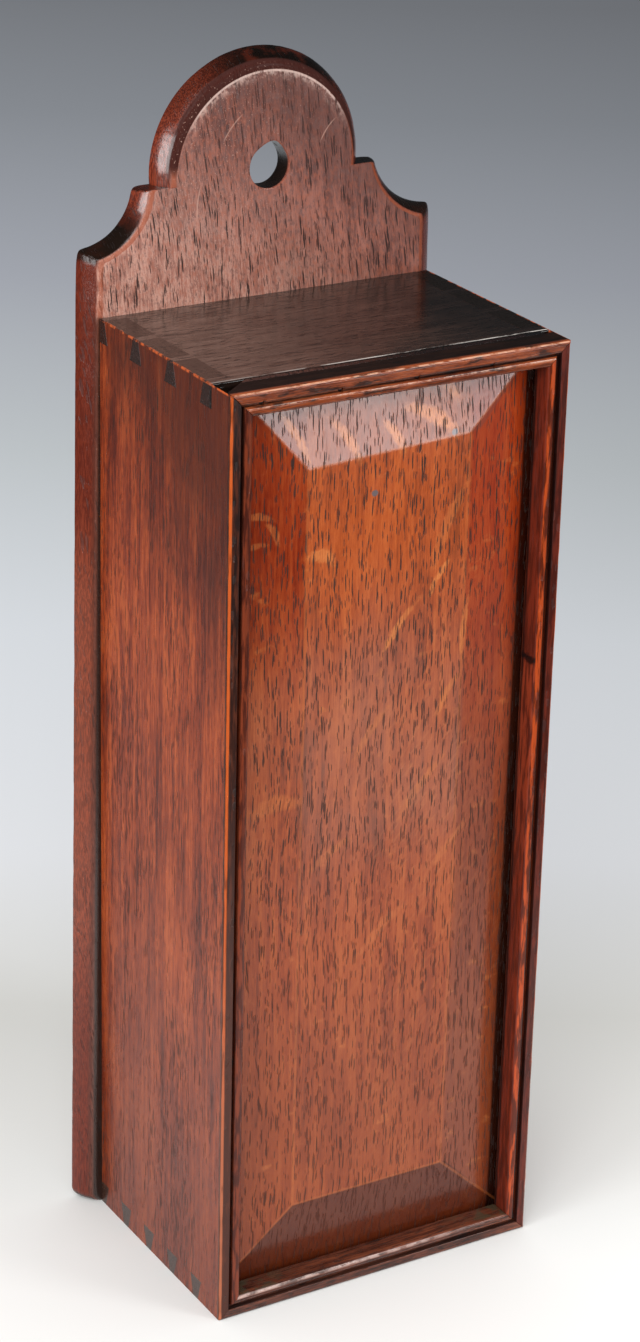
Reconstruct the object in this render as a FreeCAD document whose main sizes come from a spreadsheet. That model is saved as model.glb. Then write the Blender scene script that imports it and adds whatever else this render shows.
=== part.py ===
import FreeCAD, Part
import math
import os

import Sketcher

# Hanging candle box in oak: a dovetailed case whose fielded lid slides up and
# out of grooves worked in the moulded front edges of the two sides.
# Inside the bodies, y = 0 is the joint between the case and the backboard, the
# case lies in front of it at negative y, and z = 0 is the underside.
# Every body is then shifted so that the origin lies under the middle of the
# whole box, with +Z up and -Y towards the front.

os.makedirs("parts", exist_ok=True)
doc = FreeCAD.newDocument("CandleBox")
sheet = doc.addObject("Spreadsheet::Sheet", "Sizes")

DRIVING_SIZES = [
    ("box_width", 140),
    ("box_height", 373),
    ("box_depth", 98.5),
    ("board_thickness", 9),
    ("arris_round", 1.2),
    # moulding on the front edges: flat fillet, sunk quirk, rounded bead
    ("fillet_width", 3.9),
    ("quirk_width", 1.4),
    ("quirk_depth", 2.2),
    ("bead_round", 1.4),
    # grooves for the lid, with the lip that stands in front of them
    ("lip_depth", 9),
    ("groove_width", 5),
    ("groove_depth", 5.2),
    ("sill_groove_depth", 2.5),
    # dovetails: the tails are on the sides and the pins on the top and bottom
    ("dovetail_flare", 2.5),
    ("top_tails", 3),
    ("top_pin_tip", 4),
    ("top_back_pin", 3.5),
    ("top_front_pin", 6),
    ("bottom_tails", 4),
    ("bottom_pin_tip", 3.6),
    ("bottom_back_pin", 3.5),
    ("bottom_front_gap", 3.4),
    # backboard and its shaped crest, which rises from the top of the case
    ("back_board_thickness", 9),
    ("edge_swell", 5.5),
    ("edge_crown", 1),
    ("right_arris_inset", 3),
    ("foot_flare", 4),
    ("foot_corner_round", 5),
    ("shoulder_rise", 45),
    ("shoulder_width", 8.8),
    ("shoulder_loss", 1.7),
    ("left_cove_lift", 2),
    ("right_cove_lift", 7.5),
    ("arch_shift", 2.2),
    ("arch_lift", 3.4),
    ("arch_radius", 38.1),
    ("hanging_hole_radius", 8.2),
    ("hanging_notch_rise", 3.2),
    ("hanging_notch_half_angle", 35),
    # fielded lid
    ("lid_edge_thickness", 2.6),
    ("lid_thickness", 7),
    ("lid_bevel", 31),
    ("lid_side_play", 0.5),
    ("lid_back_play", 0.2),
    ("lid_seat_play", 0.3),
    ("mitre_play", 0.3),
    ("pared_along", 13),
    ("pared_deep", 10.5),
    # headless brads that hold the rail, and nails that hold the backboard
    ("brads", 4),
    ("first_brad", 13),
    ("brad_pitch", 31.5),
    ("brad_thickness", 1.5),
    ("brad_length", 10.5),
    ("nails_a_side", 4),
    ("nail_end_margin", 30),
    ("nail_thickness", 2.2),
    ("nail_head_radius", 2.6),
    ("nail_head_thickness", 1.2),
    ("nail_length", 28),
    ("end_nail_offset", 27),
    ("taper_share", 0.4),
    ("metal_play", 0.05),
]
for row, (alias, number) in enumerate(DRIVING_SIZES, start=1):
    sheet.set(f"A{row}", alias)
    sheet.set(f"B{row}", str(number))
    sheet.setAlias(f"B{row}", alias)
doc.recompute()


def size(alias):
    """The expression that reads one driving size."""
    return f"Sizes.{alias}"


def value(expression):
    """The present value of an expression, in millimetres or degrees."""
    number = sheet.evalExpression(expression)
    return float(getattr(number, "Value", number))


# Heights, depths and half-widths that several pieces share, as expressions.
BOARD = size("board_thickness")
REAR = size("back_board_thickness")
OUTER = f"({size('box_width')} / 2)"
INNER = f"({OUTER} - {BOARD})"
FRONT = f"(-{size('box_depth')})"
LIP_BACK = f"({FRONT} + {size('lip_depth')})"
MOUTH = f"({LIP_BACK} + {size('groove_width')})"
HEIGHT = size("box_height")
CEILING = f"({HEIGHT} - {BOARD})"
QUIRK_START = size("fillet_width")
QUIRK_END = f"({size('fillet_width')} + {size('quirk_width')})"
QUIRK_FLOOR = f"({FRONT} + {size('quirk_depth')})"
GROOVE_SIDE = f"({INNER} + {size('groove_depth')})"
FLARE = size("dovetail_flare")
LID_BACK = f"({MOUTH} - {size('lid_back_play')})"
LID_EDGE_FACE = f"({LID_BACK} - {size('lid_edge_thickness')})"
LID_FIELD_FACE = f"({LID_BACK} - {size('lid_thickness')})"
LID_SIDE = f"({GROOVE_SIDE} - {size('lid_side_play')})"
LID_FOOT = f"({BOARD} - {size('sill_groove_depth')} + {size('lid_seat_play')})"
SHOULDER = f"({HEIGHT} + {size('shoulder_rise')})"
ARCH_CENTRE = f"({SHOULDER} + {size('arch_lift')})"
CENTRING = f"({size('box_depth')} - {REAR}) / 2"


# ---------------------------------------------------------------- modelling aids
def new_body(label):
    """A body that carries one piece, shifted to the middle of the whole box."""
    body = doc.addObject("PartDesign::Body", label)
    body.Label = label
    body.setExpression("Placement.Base.y", CENTRING)
    return body


def lay_on_plane(sketch, body, plane, offset):
    """Lay a sketch on one of its body's origin planes, offset along its normal."""
    planes = [item for item in body.Origin.OriginFeatures if item.Role == plane]
    sketch.AttachmentSupport = [(planes[0], "")]
    sketch.MapMode = "FlatFace"
    sketch.setExpression("AttachmentOffset.Base.z", offset)


def pin_down(sketch, edge, end, across, up):
    """Tie one end of an edge to two expressions, measured from the sketch's origin."""
    for direction, expression in (("DistanceX", across), ("DistanceY", up)):
        rule = Sketcher.Constraint(direction, -1, 1, edge, end, value(expression))
        index = sketch.addConstraint(rule)
        sketch.setExpression(f"Constraints[{index}]", expression)


def draw_polygon(sketch, corners):
    """Add a closed outline whose corners are pairs of expressions."""
    first = sketch.GeometryCount
    points = [FreeCAD.Vector(value(across), value(up), 0) for across, up in corners]
    count = len(points)
    for index, point in enumerate(points):
        sketch.addGeometry(Part.LineSegment(point, points[(index + 1) % count]), False)
    for index in range(count):
        following = first + (index + 1) % count
        sketch.addConstraint(Sketcher.Constraint("Coincident", first + index, 2, following, 1))
    for index, (across, up) in enumerate(corners):
        pin_down(sketch, first + index, 1, across, up)


def polygon_sketch(body, name, plane, offset, polygons):
    """A sketch of one or more closed polygons on a plane of the body."""
    sketch = body.newObject("Sketcher::SketchObject", name)
    lay_on_plane(sketch, body, plane, offset)
    for corners in polygons:
        draw_polygon(sketch, corners)
    return sketch


def pad(body, name, sketch, length, midplane=False):
    """Build up a sketch along its normal, or to both sides of it."""
    feature = body.newObject("PartDesign::Pad", name)
    feature.Profile = sketch
    feature.SideType = "Symmetric" if midplane else "One side"
    feature.setExpression("Length", length)
    doc.recompute()
    return feature


def pocket(body, name, sketch, length):
    """Cut a sketch away against its normal, and make sure that it cut."""
    before = body.Shape.Volume
    feature = body.newObject("PartDesign::Pocket", name)
    feature.Profile = sketch
    feature.setExpression("Length", length)
    doc.recompute()
    if not body.Shape.Volume < before:
        raise RuntimeError(f"{name} cut nothing")
    return feature


def lines_through(body, direction, spots):
    """Names of the body's straight edges along a direction through given spots."""
    found = []
    for index, edge in enumerate(body.Tip.Shape.Edges, start=1):
        if edge.Curve.TypeId != "Part::GeomLine":
            continue
        if abs(edge.tangentAt(edge.FirstParameter).dot(direction)) < 0.999:
            continue
        middle = edge.CenterOfMass
        for spot in spots:
            if (middle - spot).cross(direction).Length < 0.01:
                found.append(f"Edge{index}")
    return found


def round_edges(body, name, edges, radius):
    """Round the named edges of the body's latest feature."""
    if not edges:
        raise RuntimeError(f"{name} found no edge")
    feature = body.newObject("PartDesign::Fillet", name)
    feature.Base = (body.Group[-2], edges)
    feature.setExpression("Radius", radius)
    body.Tip = feature
    doc.recompute()
    return feature


def bore(body, name, plane, offset, centres, radius, length):
    """Drill equal round holes against the plane's normal."""
    sketch = body.newObject("Sketcher::SketchObject", name + "_centres")
    lay_on_plane(sketch, body, plane, offset)
    for across, up in centres:
        centre = FreeCAD.Vector(value(across), value(up), 0)
        ring = sketch.addGeometry(Part.Circle(centre, FreeCAD.Vector(0, 0, 1), value(radius)), False)
        pin_down(sketch, ring, 3, across, up)
        index = sketch.addConstraint(Sketcher.Constraint("Radius", ring, value(radius)))
        sketch.setExpression(f"Constraints[{index}]", radius)
    return pocket(body, name, sketch, length)


# ---------------------------------------------------------------- dovetail layout
class DovetailRow:
    """Tails and pins along one end of a side board, from the back to the mouth.

    Depths are measured at the tails' wide ends, which lie on the outer face of
    the horizontal board at `outside`; `inside` is that board's inner face.
    """

    def __init__(self, end, outside, inside, back_pin, pin_tip, front_room):
        self.tails = int(value(size(f"{end}_tails")))
        self.outside = outside
        self.inside = inside
        self.back_pin = size(back_pin)
        self.pin_tip = pin_tip
        run = f"(-{MOUTH} - {self.back_pin} - {front_room})"
        self.pitch = f"({run} / {size(f'{end}_tails')})"

    def tail_back(self, index):
        return f"(-{self.back_pin} - {index} * {self.pitch})"

    def tail_front(self, index):
        return f"({self.tail_back(index + 1)} + {self.pin_tip})"

    def tail(self, index):
        """Outline of one tail, narrower at the board's inner face."""
        back, front = self.tail_back(index), self.tail_front(index)
        return [
            (back, self.outside),
            (front, self.outside),
            (f"{front} + {FLARE}", self.inside),
            (f"{back} - {FLARE}", self.inside),
        ]

    def pin(self, index):
        """Outline of the full pin in front of tail number `index`."""
        back, front = self.tail_front(index), self.tail_back(index + 1)
        return [
            (back, self.outside),
            (front, self.outside),
            (f"{front} - {FLARE}", self.inside),
            (f"{back} + {FLARE}", self.inside),
        ]

    def half_pin(self):
        """Outline of the half pin against the backboard."""
        back = self.tail_back(0)
        return [
            ("0", self.outside),
            (back, self.outside),
            (f"{back} - {FLARE}", self.inside),
            ("0", self.inside),
        ]


top_row = DovetailRow(
    "top", HEIGHT, CEILING, "top_back_pin", size("top_pin_tip"),
    f"({size('top_front_pin')} - {size('top_pin_tip')})",
)
bottom_row = DovetailRow(
    "bottom", "0", BOARD, "bottom_back_pin", size("bottom_pin_tip"),
    size("bottom_front_gap"),
)


def top_front_pin():
    """Half pin at the top board's front edge, square on its front."""
    back = top_row.tail_front(top_row.tails - 1)
    return [(back, HEIGHT), (MOUTH, HEIGHT), (MOUTH, CEILING), (f"{back} + {FLARE}", CEILING)]


def bottom_front_gap():
    """The strip of side board between the last bottom pin and the mitre."""
    back = bottom_row.tail_back(bottom_row.tails)
    return [(back, "0"), (MOUTH, "0"), (MOUTH, BOARD), (f"{back} - {FLARE}", BOARD)]


# ---------------------------------------------------------------- side boards
def side_board(label, hand):
    """One side, moulded and grooved along its length and then jointed.

    The plan section carries the whole moulding, so it runs the full height;
    `hand` is -1 for the left and 1 for the right.
    """
    body = new_body(label)

    def across(half_width):
        return f"({hand} * {half_width})"

    plan = [
        (across(OUTER), "0"),
        (across(OUTER), FRONT),
        (across(f"({OUTER} - {QUIRK_START})"), FRONT),
        (across(f"({OUTER} - {QUIRK_START})"), QUIRK_FLOOR),
        (across(f"({OUTER} - {QUIRK_END})"), QUIRK_FLOOR),
        (across(f"({OUTER} - {QUIRK_END})"), FRONT),
        (across(INNER), FRONT),
        (across(INNER), LIP_BACK),
        (across(GROOVE_SIDE), LIP_BACK),
        (across(GROOVE_SIDE), MOUTH),
        (across(INNER), MOUTH),
        (across(INNER), "0"),
    ]
    section = polygon_sketch(body, f"{label}_plan", "XY_Plane", "0", [plan])
    pad(body, f"{label}_board", section, HEIGHT)

    upright = FreeCAD.Vector(0, 0, 1)
    front, half_height = value(FRONT), value(HEIGHT) / 2
    corner = FreeCAD.Vector(hand * value(OUTER), front, half_height)
    round_edges(body, f"{label}_arris", lines_through(body, upright, [corner]), size("arris_round"))
    bead_sides = [value(f"{OUTER} - {QUIRK_END}"), value(INNER)]
    spots = [FreeCAD.Vector(hand * side, front, half_height) for side in bead_sides]
    round_edges(body, f"{label}_bead", lines_through(body, upright, spots), size("bead_round"))

    top_pins = [top_row.half_pin(), top_front_pin()]
    top_pins += [top_row.pin(index) for index in range(top_row.tails - 1)]
    bottom_pins = [bottom_row.half_pin()]
    bottom_pins += [bottom_row.pin(index) for index in range(bottom_row.tails)]
    start = OUTER if hand > 0 else f"(-{INNER})"
    for name, pins in (("top_sockets", top_pins), ("bottom_sockets", bottom_pins)):
        sockets = polygon_sketch(body, f"{label}_{name}", "YZ_Plane", start, pins)
        pocket(body, f"{label}_{name}_cut", sockets, BOARD)

    # the moulding is mitred: at the foot to the sill, at the head to the lid's rail
    foot = [(across(OUTER), "0"), (across(INNER), "0"), (across(INNER), BOARD)]
    head = [(across(INNER), CEILING), (across(OUTER), HEIGHT), (across(INNER), HEIGHT)]
    depth = f"({MOUTH} - {FRONT})"
    mitres = polygon_sketch(body, f"{label}_mitres", "XZ_Plane", f"-{FRONT}", [foot, head])
    pocket(body, f"{label}_mitre_cut", mitres, depth)
    return body


# ---------------------------------------------------------------- top and bottom boards
def cut_ends(body, label, polygons):
    """Cut one set of outlines through both ends of a horizontal board."""
    for name, start in (("left", f"(-{INNER})"), ("right", OUTER)):
        gaps = polygon_sketch(body, f"{label}_{name}_gaps", "YZ_Plane", start, polygons)
        pocket(body, f"{label}_{name}_cut", gaps, BOARD)


def top_board():
    """Top board, which stops behind the lid so that the lid can lift past it."""
    body = new_body("top_board")
    section = [("0", CEILING), (MOUTH, CEILING), (MOUTH, HEIGHT), ("0", HEIGHT)]
    sketch = polygon_sketch(body, "top_section", "YZ_Plane", "0", [section])
    pad(body, "top_blank", sketch, size("box_width"), midplane=True)
    cut_ends(body, "top", [top_row.tail(index) for index in range(top_row.tails)])
    return body


def bottom_board():
    """Bottom board, whose moulded front edge is the sill that the lid stands in."""
    body = new_body("bottom_board")
    groove_floor = f"({BOARD} - {size('sill_groove_depth')})"
    section = [
        ("0", "0"),
        (FRONT, "0"),
        (FRONT, QUIRK_START),
        (QUIRK_FLOOR, QUIRK_START),
        (QUIRK_FLOOR, QUIRK_END),
        (FRONT, QUIRK_END),
        (FRONT, BOARD),
        (LIP_BACK, BOARD),
        (LIP_BACK, groove_floor),
        (MOUTH, groove_floor),
        (MOUTH, BOARD),
        ("0", BOARD),
    ]
    sketch = polygon_sketch(body, "bottom_section", "YZ_Plane", "0", [section])
    pad(body, "bottom_blank", sketch, size("box_width"), midplane=True)

    lengthwise = FreeCAD.Vector(1, 0, 0)
    front = value(FRONT)
    arris = lines_through(body, lengthwise, [FreeCAD.Vector(0, front, 0)])
    round_edges(body, "sill_arris", arris, size("arris_round"))
    spots = [FreeCAD.Vector(0, front, value(height)) for height in (QUIRK_END, BOARD)]
    round_edges(body, "sill_bead", lines_through(body, lengthwise, spots), size("bead_round"))

    gaps = [bottom_row.tail(index) for index in range(bottom_row.tails)]
    cut_ends(body, "bottom", gaps + [bottom_front_gap()])
    corners = []
    for hand in (-1, 1):
        outer, inner = f"({hand} * {OUTER})", f"({hand} * {INNER})"
        corners.append([(outer, "0"), (outer, BOARD), (inner, BOARD)])
    mitres = polygon_sketch(body, "sill_mitres", "XZ_Plane", f"-{FRONT}", corners)
    pocket(body, "sill_mitre_cut", mitres, f"({MOUTH} - {FRONT})")
    return body


# ---------------------------------------------------------------- backboard
def backboard_outline(body, name, share):
    """Closed outline of the backboard at one share of the way to its back.

    The edge swells out as it goes back. The crest is a half-round arch, cut a
    little off the middle, between two small flat shoulders with a cove below
    each, and the board widens evenly from the horns down to its foot.
    """
    sketch = body.newObject("Sketcher::SketchObject", name)
    lay_on_plane(sketch, body, "XZ_Plane", f"-({REAR} * {share})")
    grow = f"({size('edge_swell')} * {share} + {size('edge_crown')} * 4 * {share} * (1 - {share}))"
    arch, lift = f"({size('arch_radius')} + {grow})", size("arch_lift")
    arch_middle = f"(-{size('arch_shift')})"
    arch_foot = f"sqrt({arch} ^ 2 - {lift} ^ 2)"
    shoulder_width = f"({size('shoulder_width')} - {size('shoulder_loss')} * {share})"
    corner = size("foot_corner_round")
    left_half = f"({OUTER} + {grow})"
    right_half = f"({left_half} - {size('right_arris_inset')} * (1 - {share}))"

    def cove_of(hand, half, cove_lift):
        """Centre, radius, shoulder end and side end of one cove, as expressions."""
        across = f"({OUTER} + {size('edge_swell')})"
        up = f"({SHOULDER} + {cove_lift})"
        shoulder = f"({hand} * {arch_middle} + {arch_foot} + {shoulder_width})"
        radius = f"sqrt(({across} - {shoulder}) ^ 2 + {cove_lift} ^ 2)"
        side = f"({up} - sqrt({radius} ^ 2 - ({across} - {half}) ^ 2))"
        return across, up, radius, shoulder, side

    def level(across, height):
        return FreeCAD.Vector(across, height, 0)

    def arc(centre, radius, start, end):
        return Part.ArcOfCircle(Part.Circle(centre, FreeCAD.Vector(0, 0, 1), radius), start, end)

    def heading(centre, point):
        turn = math.atan2(point.y - centre.y, point.x - centre.x)
        return turn % (2 * math.pi)

    def side_shapes(hand, half, cove):
        """Foot corner, side, cove and shoulder of one hand, from the foot upwards."""
        across, up, radius, shoulder, side = (value(text) for text in cove)
        foot, round_off = value(half) + value(size("foot_flare")), value(corner)
        shoulder_z, shelf = value(SHOULDER), value(arch_middle) + hand * value(arch_foot)
        corner_centre = level(hand * (foot - round_off), round_off)
        centre = level(hand * across, up)
        low, high = level(hand * value(half), side), level(hand * shoulder, shoulder_z)
        turns = sorted((heading(centre, low), heading(centre, high)))
        quarter = (-math.pi / 2, 0) if hand > 0 else (math.pi, 3 * math.pi / 2)
        return [
            arc(corner_centre, round_off, *quarter),
            Part.LineSegment(level(hand * foot, round_off), low),
            arc(centre, radius, *turns),
            Part.LineSegment(high, level(shelf, shoulder_z)),
        ]

    left_cove = cove_of(-1, left_half, size("left_cove_lift"))
    right_cove = cove_of(1, right_half, size("right_cove_lift"))
    flare = size("foot_flare")
    left_end, right_end = (
        f"({half} + {flare} - {corner})" for half in (left_half, right_half)
    )
    lean = math.asin(value(lift) / value(arch))
    shapes = [Part.LineSegment(level(-value(left_end), 0), level(value(right_end), 0))]
    shapes += side_shapes(1, right_half, right_cove)
    arch_centre = level(value(arch_middle), value(ARCH_CENTRE))
    shapes.append(arc(arch_centre, value(arch), -lean, math.pi + lean))
    shapes += side_shapes(-1, left_half, left_cove)
    sketch.addGeometry(shapes, False)
    # an arc's ends are numbered anticlockwise, and the left side is drawn upwards
    joints = [(0, 2, 1, 1), (1, 2, 2, 1), (2, 2, 3, 2), (3, 1, 4, 1), (4, 2, 5, 1)]
    joints += [(5, 2, 9, 2), (9, 1, 8, 2), (8, 1, 7, 2), (7, 1, 6, 1), (6, 2, 0, 1)]
    for first, first_end, second, second_end in joints:
        sketch.addConstraint(Sketcher.Constraint("Coincident", first, first_end, second, second_end))

    def place(edge, end, direction, expression):
        rule = Sketcher.Constraint(direction, -1, 1, edge, end, value(expression))
        index = sketch.addConstraint(rule)
        sketch.setExpression(f"Constraints[{index}]", expression)

    hands = (
        (1, 2, 1, right_half, right_end, right_cove),
        (-1, 1, 6, left_half, left_end, left_cove),
    )
    for hand, bottom_end, first, half, end_across, cove in hands:
        across, up, _, _, side = cove
        pin_down(sketch, 0, bottom_end, f"{hand} * {end_across}", "0")
        pin_down(sketch, first, 3, f"{hand} * {end_across}", corner)
        place(first + 1, 1, "DistanceY", corner)
        pin_down(sketch, first + 1, 2, f"{hand} * {half}", side)
        pin_down(sketch, first + 2, 3, f"{hand} * {across}", up)
        for end in (1, 2):
            place(first + 3, end, "DistanceY", SHOULDER)
    pin_down(sketch, 5, 3, arch_middle, ARCH_CENTRE)
    index = sketch.addConstraint(Sketcher.Constraint("Radius", 5, value(arch)))
    sketch.setExpression(f"Constraints[{index}]", arch)
    return sketch


# the swelled edge is crowned, and drawn as this many ruled strips
SWELL_STEPS = 3


def backboard():
    """Backboard with a swelled edge and a crest pierced to hang on a nail."""
    body = new_body("backboard")
    outlines = [
        backboard_outline(body, f"back_outline_{index}", f"({index} / {SWELL_STEPS})")
        for index in range(SWELL_STEPS + 1)
    ]
    loft = body.newObject("PartDesign::AdditiveLoft", "back_blank")
    loft.Profile = outlines[0]
    loft.Sections = outlines[1:]
    loft.Ruled = True
    doc.recompute()

    # round hole, worn to a point at the top where the nail bears
    radius, angle = size("hanging_hole_radius"), size("hanging_notch_half_angle")
    height = ARCH_CENTRE
    tip = f"({height} + {radius} + {size('hanging_notch_rise')})"
    side = f"({radius} * sin({angle} * 1 deg))"
    rise = f"({height} + {radius} * cos({angle} * 1 deg))"
    hole = body.newObject("Sketcher::SketchObject", "hanging_hole_outline")
    lay_on_plane(hole, body, "XZ_Plane", "0")
    centre = FreeCAD.Vector(0, value(height), 0)
    ring = Part.Circle(centre, FreeCAD.Vector(0, 0, 1), value(radius))
    half_angle = math.radians(value(angle))
    start, end = math.pi / 2 + half_angle, 5 * math.pi / 2 - half_angle
    hole.addGeometry(Part.ArcOfCircle(ring, start, end), False)
    left, right = (FreeCAD.Vector(hand * value(side), value(rise), 0) for hand in (-1, 1))
    top = FreeCAD.Vector(0, value(tip), 0)
    hole.addGeometry(Part.LineSegment(right, top), False)
    hole.addGeometry(Part.LineSegment(top, left), False)
    for first, first_end, second, second_end in ((0, 2, 1, 1), (1, 2, 2, 1), (2, 2, 0, 1)):
        hole.addConstraint(Sketcher.Constraint("Coincident", first, first_end, second, second_end))
    pin_down(hole, 0, 3, "0", height)
    pin_down(hole, 1, 2, "0", tip)
    pin_down(hole, 0, 2, side, rise)
    index = hole.addConstraint(Sketcher.Constraint("DistanceX", -1, 1, 0, 1, -value(side)))
    hole.setExpression(f"Constraints[{index}]", f"-{side}")
    pocket(body, "hanging_hole", hole, REAR)
    return body


# ---------------------------------------------------------------- nails and brads
def spaced(first, last, count, index):
    """Expression for one of several equally spaced places."""
    return f"({first} + ({last} - {first}) * {index} / ({count} - 1))"


SIDE_NAIL_X = f"({OUTER} - {BOARD} / 2)"
NAIL_TOP = f"({HEIGHT} - {size('nail_end_margin')})"
side_nail_heights = [
    spaced(size("nail_end_margin"), NAIL_TOP, size("nails_a_side"), nail)
    for nail in range(int(value(size("nails_a_side"))))
]
left_nail_places = [(f"(-{SIDE_NAIL_X})", height) for height in side_nail_heights]
right_nail_places = [(SIDE_NAIL_X, height) for height in side_nail_heights]
end_nail_columns = (f"(-{size('end_nail_offset')})", size("end_nail_offset"))
bottom_nail_places = [(across, f"({BOARD} / 2)") for across in end_nail_columns]
top_nail_places = [(across, f"({HEIGHT} - {BOARD} / 2)") for across in end_nail_columns]
nail_places = left_nail_places + right_nail_places + bottom_nail_places + top_nail_places

BRAD_HEIGHT = f"({HEIGHT} - ({QUIRK_START} + {QUIRK_END}) / 2)"
brad_places = [
    (f"(-{OUTER} + {size('first_brad')} + {brad} * {size('brad_pitch')})", BRAD_HEIGHT)
    for brad in range(int(value(size("brads"))))
]


def hole_for(thick):
    """Radius of the round hole that just clears a square shank."""
    return f"({size(thick)} / sqrt(2) + {size('metal_play')})"


def drill_for_nails(body, label, places, reach):
    """Shank holes in one board, bored forwards from the joint with the backboard."""
    radius = hole_for("nail_thickness")
    holes = body.newObject("Sketcher::SketchObject", f"{label}_nail_centres")
    lay_on_plane(holes, body, "XZ_Plane", "0")
    for across, up in places:
        centre = FreeCAD.Vector(value(across), value(up), 0)
        ring = holes.addGeometry(Part.Circle(centre, FreeCAD.Vector(0, 0, 1), value(radius)), False)
        pin_down(holes, ring, 3, across, up)
        index = holes.addConstraint(Sketcher.Constraint("Radius", ring, value(radius)))
        holes.setExpression(f"Constraints[{index}]", radius)
    before = body.Shape.Volume
    feature = body.newObject("PartDesign::Pocket", f"{label}_nail_holes")
    feature.Profile = holes
    feature.Reversed = True
    feature.setExpression("Length", reach)
    doc.recompute()
    if not body.Shape.Volume < before:
        raise RuntimeError(f"{label}_nail_holes cut nothing")


def lay_fastener(part, place, depth, turn):
    """Put a fastener's solid at its place on the board, turned about +Z."""
    across, up = place
    spin = FreeCAD.Rotation(FreeCAD.Vector(0, 0, 1), turn)
    part.Placement = FreeCAD.Placement(FreeCAD.Vector(0, 0, 0), spin)
    part.setExpression("Placement.Base.x", across)
    part.setExpression("Placement.Base.y", f"{depth} + {CENTRING}")
    part.setExpression("Placement.Base.z", up)


def square_taper(label, index, thick, length, place, depth, forward):
    """A hand-made square shank that tapers to a blunt point.

    `forward` is 1 where it points towards +Y from `depth`, and -1 towards -Y.
    """
    shank = doc.addObject("Part::Wedge", f"{label}_shank_{index}")
    for side in ("X", "Z"):
        shank.setExpression(f"{side}min", f"-{thick} / 2")
        shank.setExpression(f"{side}max", f"{thick} / 2")
        shank.setExpression(f"{side}2min", f"-{thick} * {size('taper_share')} / 2")
        shank.setExpression(f"{side}2max", f"{thick} * {size('taper_share')} / 2")
    shank.Ymin = 0
    shank.setExpression("Ymax", length)
    lay_fastener(shank, place, depth, 90 * (1 - forward))
    return shank


def group_of(label, pieces):
    """Several equal fasteners as one group of separate solids."""
    group = doc.addObject("Part::Compound", label)
    group.Label = label
    group.Links = pieces
    doc.recompute()
    return group


def back_nails():
    """Nails driven forwards through the backboard, heads sunk flush with its back."""
    pieces = []
    head_floor = f"({REAR} - {size('nail_head_thickness')})"
    for index, place in enumerate(nail_places):
        shank = square_taper(
            "nail", index, size("nail_thickness"), size("nail_length"), place, head_floor, -1
        )
        head = doc.addObject("Part::Prism", f"nail_head_{index}")
        head.Polygon = 8
        head.setExpression("Circumradius", size("nail_head_radius"))
        head.setExpression("Height", size("nail_head_thickness"))
        across, up = place
        lying = FreeCAD.Rotation(FreeCAD.Vector(1, 0, 0), 90)
        head.Placement = FreeCAD.Placement(FreeCAD.Vector(0, 0, 0), lying)
        head.setExpression("Placement.Base.x", across)
        head.setExpression("Placement.Base.y", f"{REAR} + {CENTRING}")
        head.setExpression("Placement.Base.z", up)
        nail = doc.addObject("Part::Fuse", f"nail_{index}")
        nail.Base = head
        nail.Tool = shank
        pieces.append(nail)
    return group_of("back_nails", pieces)


def rail_brads():
    """Headless brads driven back through the rail's quirk into the panel."""
    thick, length = size("brad_thickness"), size("brad_length")
    pieces = [
        square_taper("brad", index, thick, length, place, QUIRK_FLOOR, 1)
        for index, place in enumerate(brad_places)
    ]
    return group_of("rail_brads", pieces)


# ---------------------------------------------------------------- lid
def pare_corner(body, label):
    """Pare the lid's back left corner, so that it enters its grooves easily."""
    corner = f"(-{OUTER})"
    pared = [
        (corner, LID_BACK),
        (f"({corner} + {size('pared_along')})", LID_BACK),
        (corner, f"({LID_BACK} - {size('pared_deep')})"),
    ]
    sketch = polygon_sketch(body, f"{label}_corner", "XY_Plane", HEIGHT, [pared])
    pocket(body, f"{label}_corner_cut", sketch, BOARD)


def lid_panel():
    """Fielded panel: four long bevels run from a flat field to a thin edge."""
    body = new_body("lid_panel")
    side, foot = LID_SIDE, LID_FOOT
    edge = [(f"(-{side})", foot), (side, foot), (side, HEIGHT), (f"(-{side})", HEIGHT)]
    bevel = size("lid_bevel")
    inner = f"({side} - {bevel})"
    low, high = f"({foot} + {bevel})", f"({HEIGHT} - {bevel})"
    field = [(f"(-{inner})", low), (inner, low), (inner, high), (f"(-{inner})", high)]

    base = polygon_sketch(body, "panel_edge", "XZ_Plane", f"-{LID_BACK}", [edge])
    pad(body, "panel_base", base, size("lid_edge_thickness"))
    bevel_foot = polygon_sketch(body, "bevel_foot", "XZ_Plane", f"-{LID_EDGE_FACE}", [edge])
    bevel_head = polygon_sketch(body, "bevel_head", "XZ_Plane", f"-{LID_FIELD_FACE}", [field])
    loft = body.newObject("PartDesign::AdditiveLoft", "panel_bevels")
    loft.Profile = bevel_foot
    loft.Sections = [bevel_head]
    doc.recompute()

    # flat seat across the head, where the rail is planted
    seat = [(f"(-{side})", CEILING), (side, CEILING), (side, HEIGHT), (f"(-{side})", HEIGHT)]
    seat_sketch = polygon_sketch(body, "rail_seat", "XZ_Plane", f"-{LID_FIELD_FACE}", [seat])
    pocket(body, "rail_seat_cut", seat_sketch, f"({LID_EDGE_FACE} - {LID_FIELD_FACE})")
    pare_corner(body, "panel")

    depth = f"({size('brad_length')} - ({LID_EDGE_FACE} - {QUIRK_FLOOR}))"
    clear = hole_for("brad_thickness")
    bore(body, "panel_brad_holes", "XZ_Plane", f"-{LID_EDGE_FACE}", brad_places, clear, depth)
    return body


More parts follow.
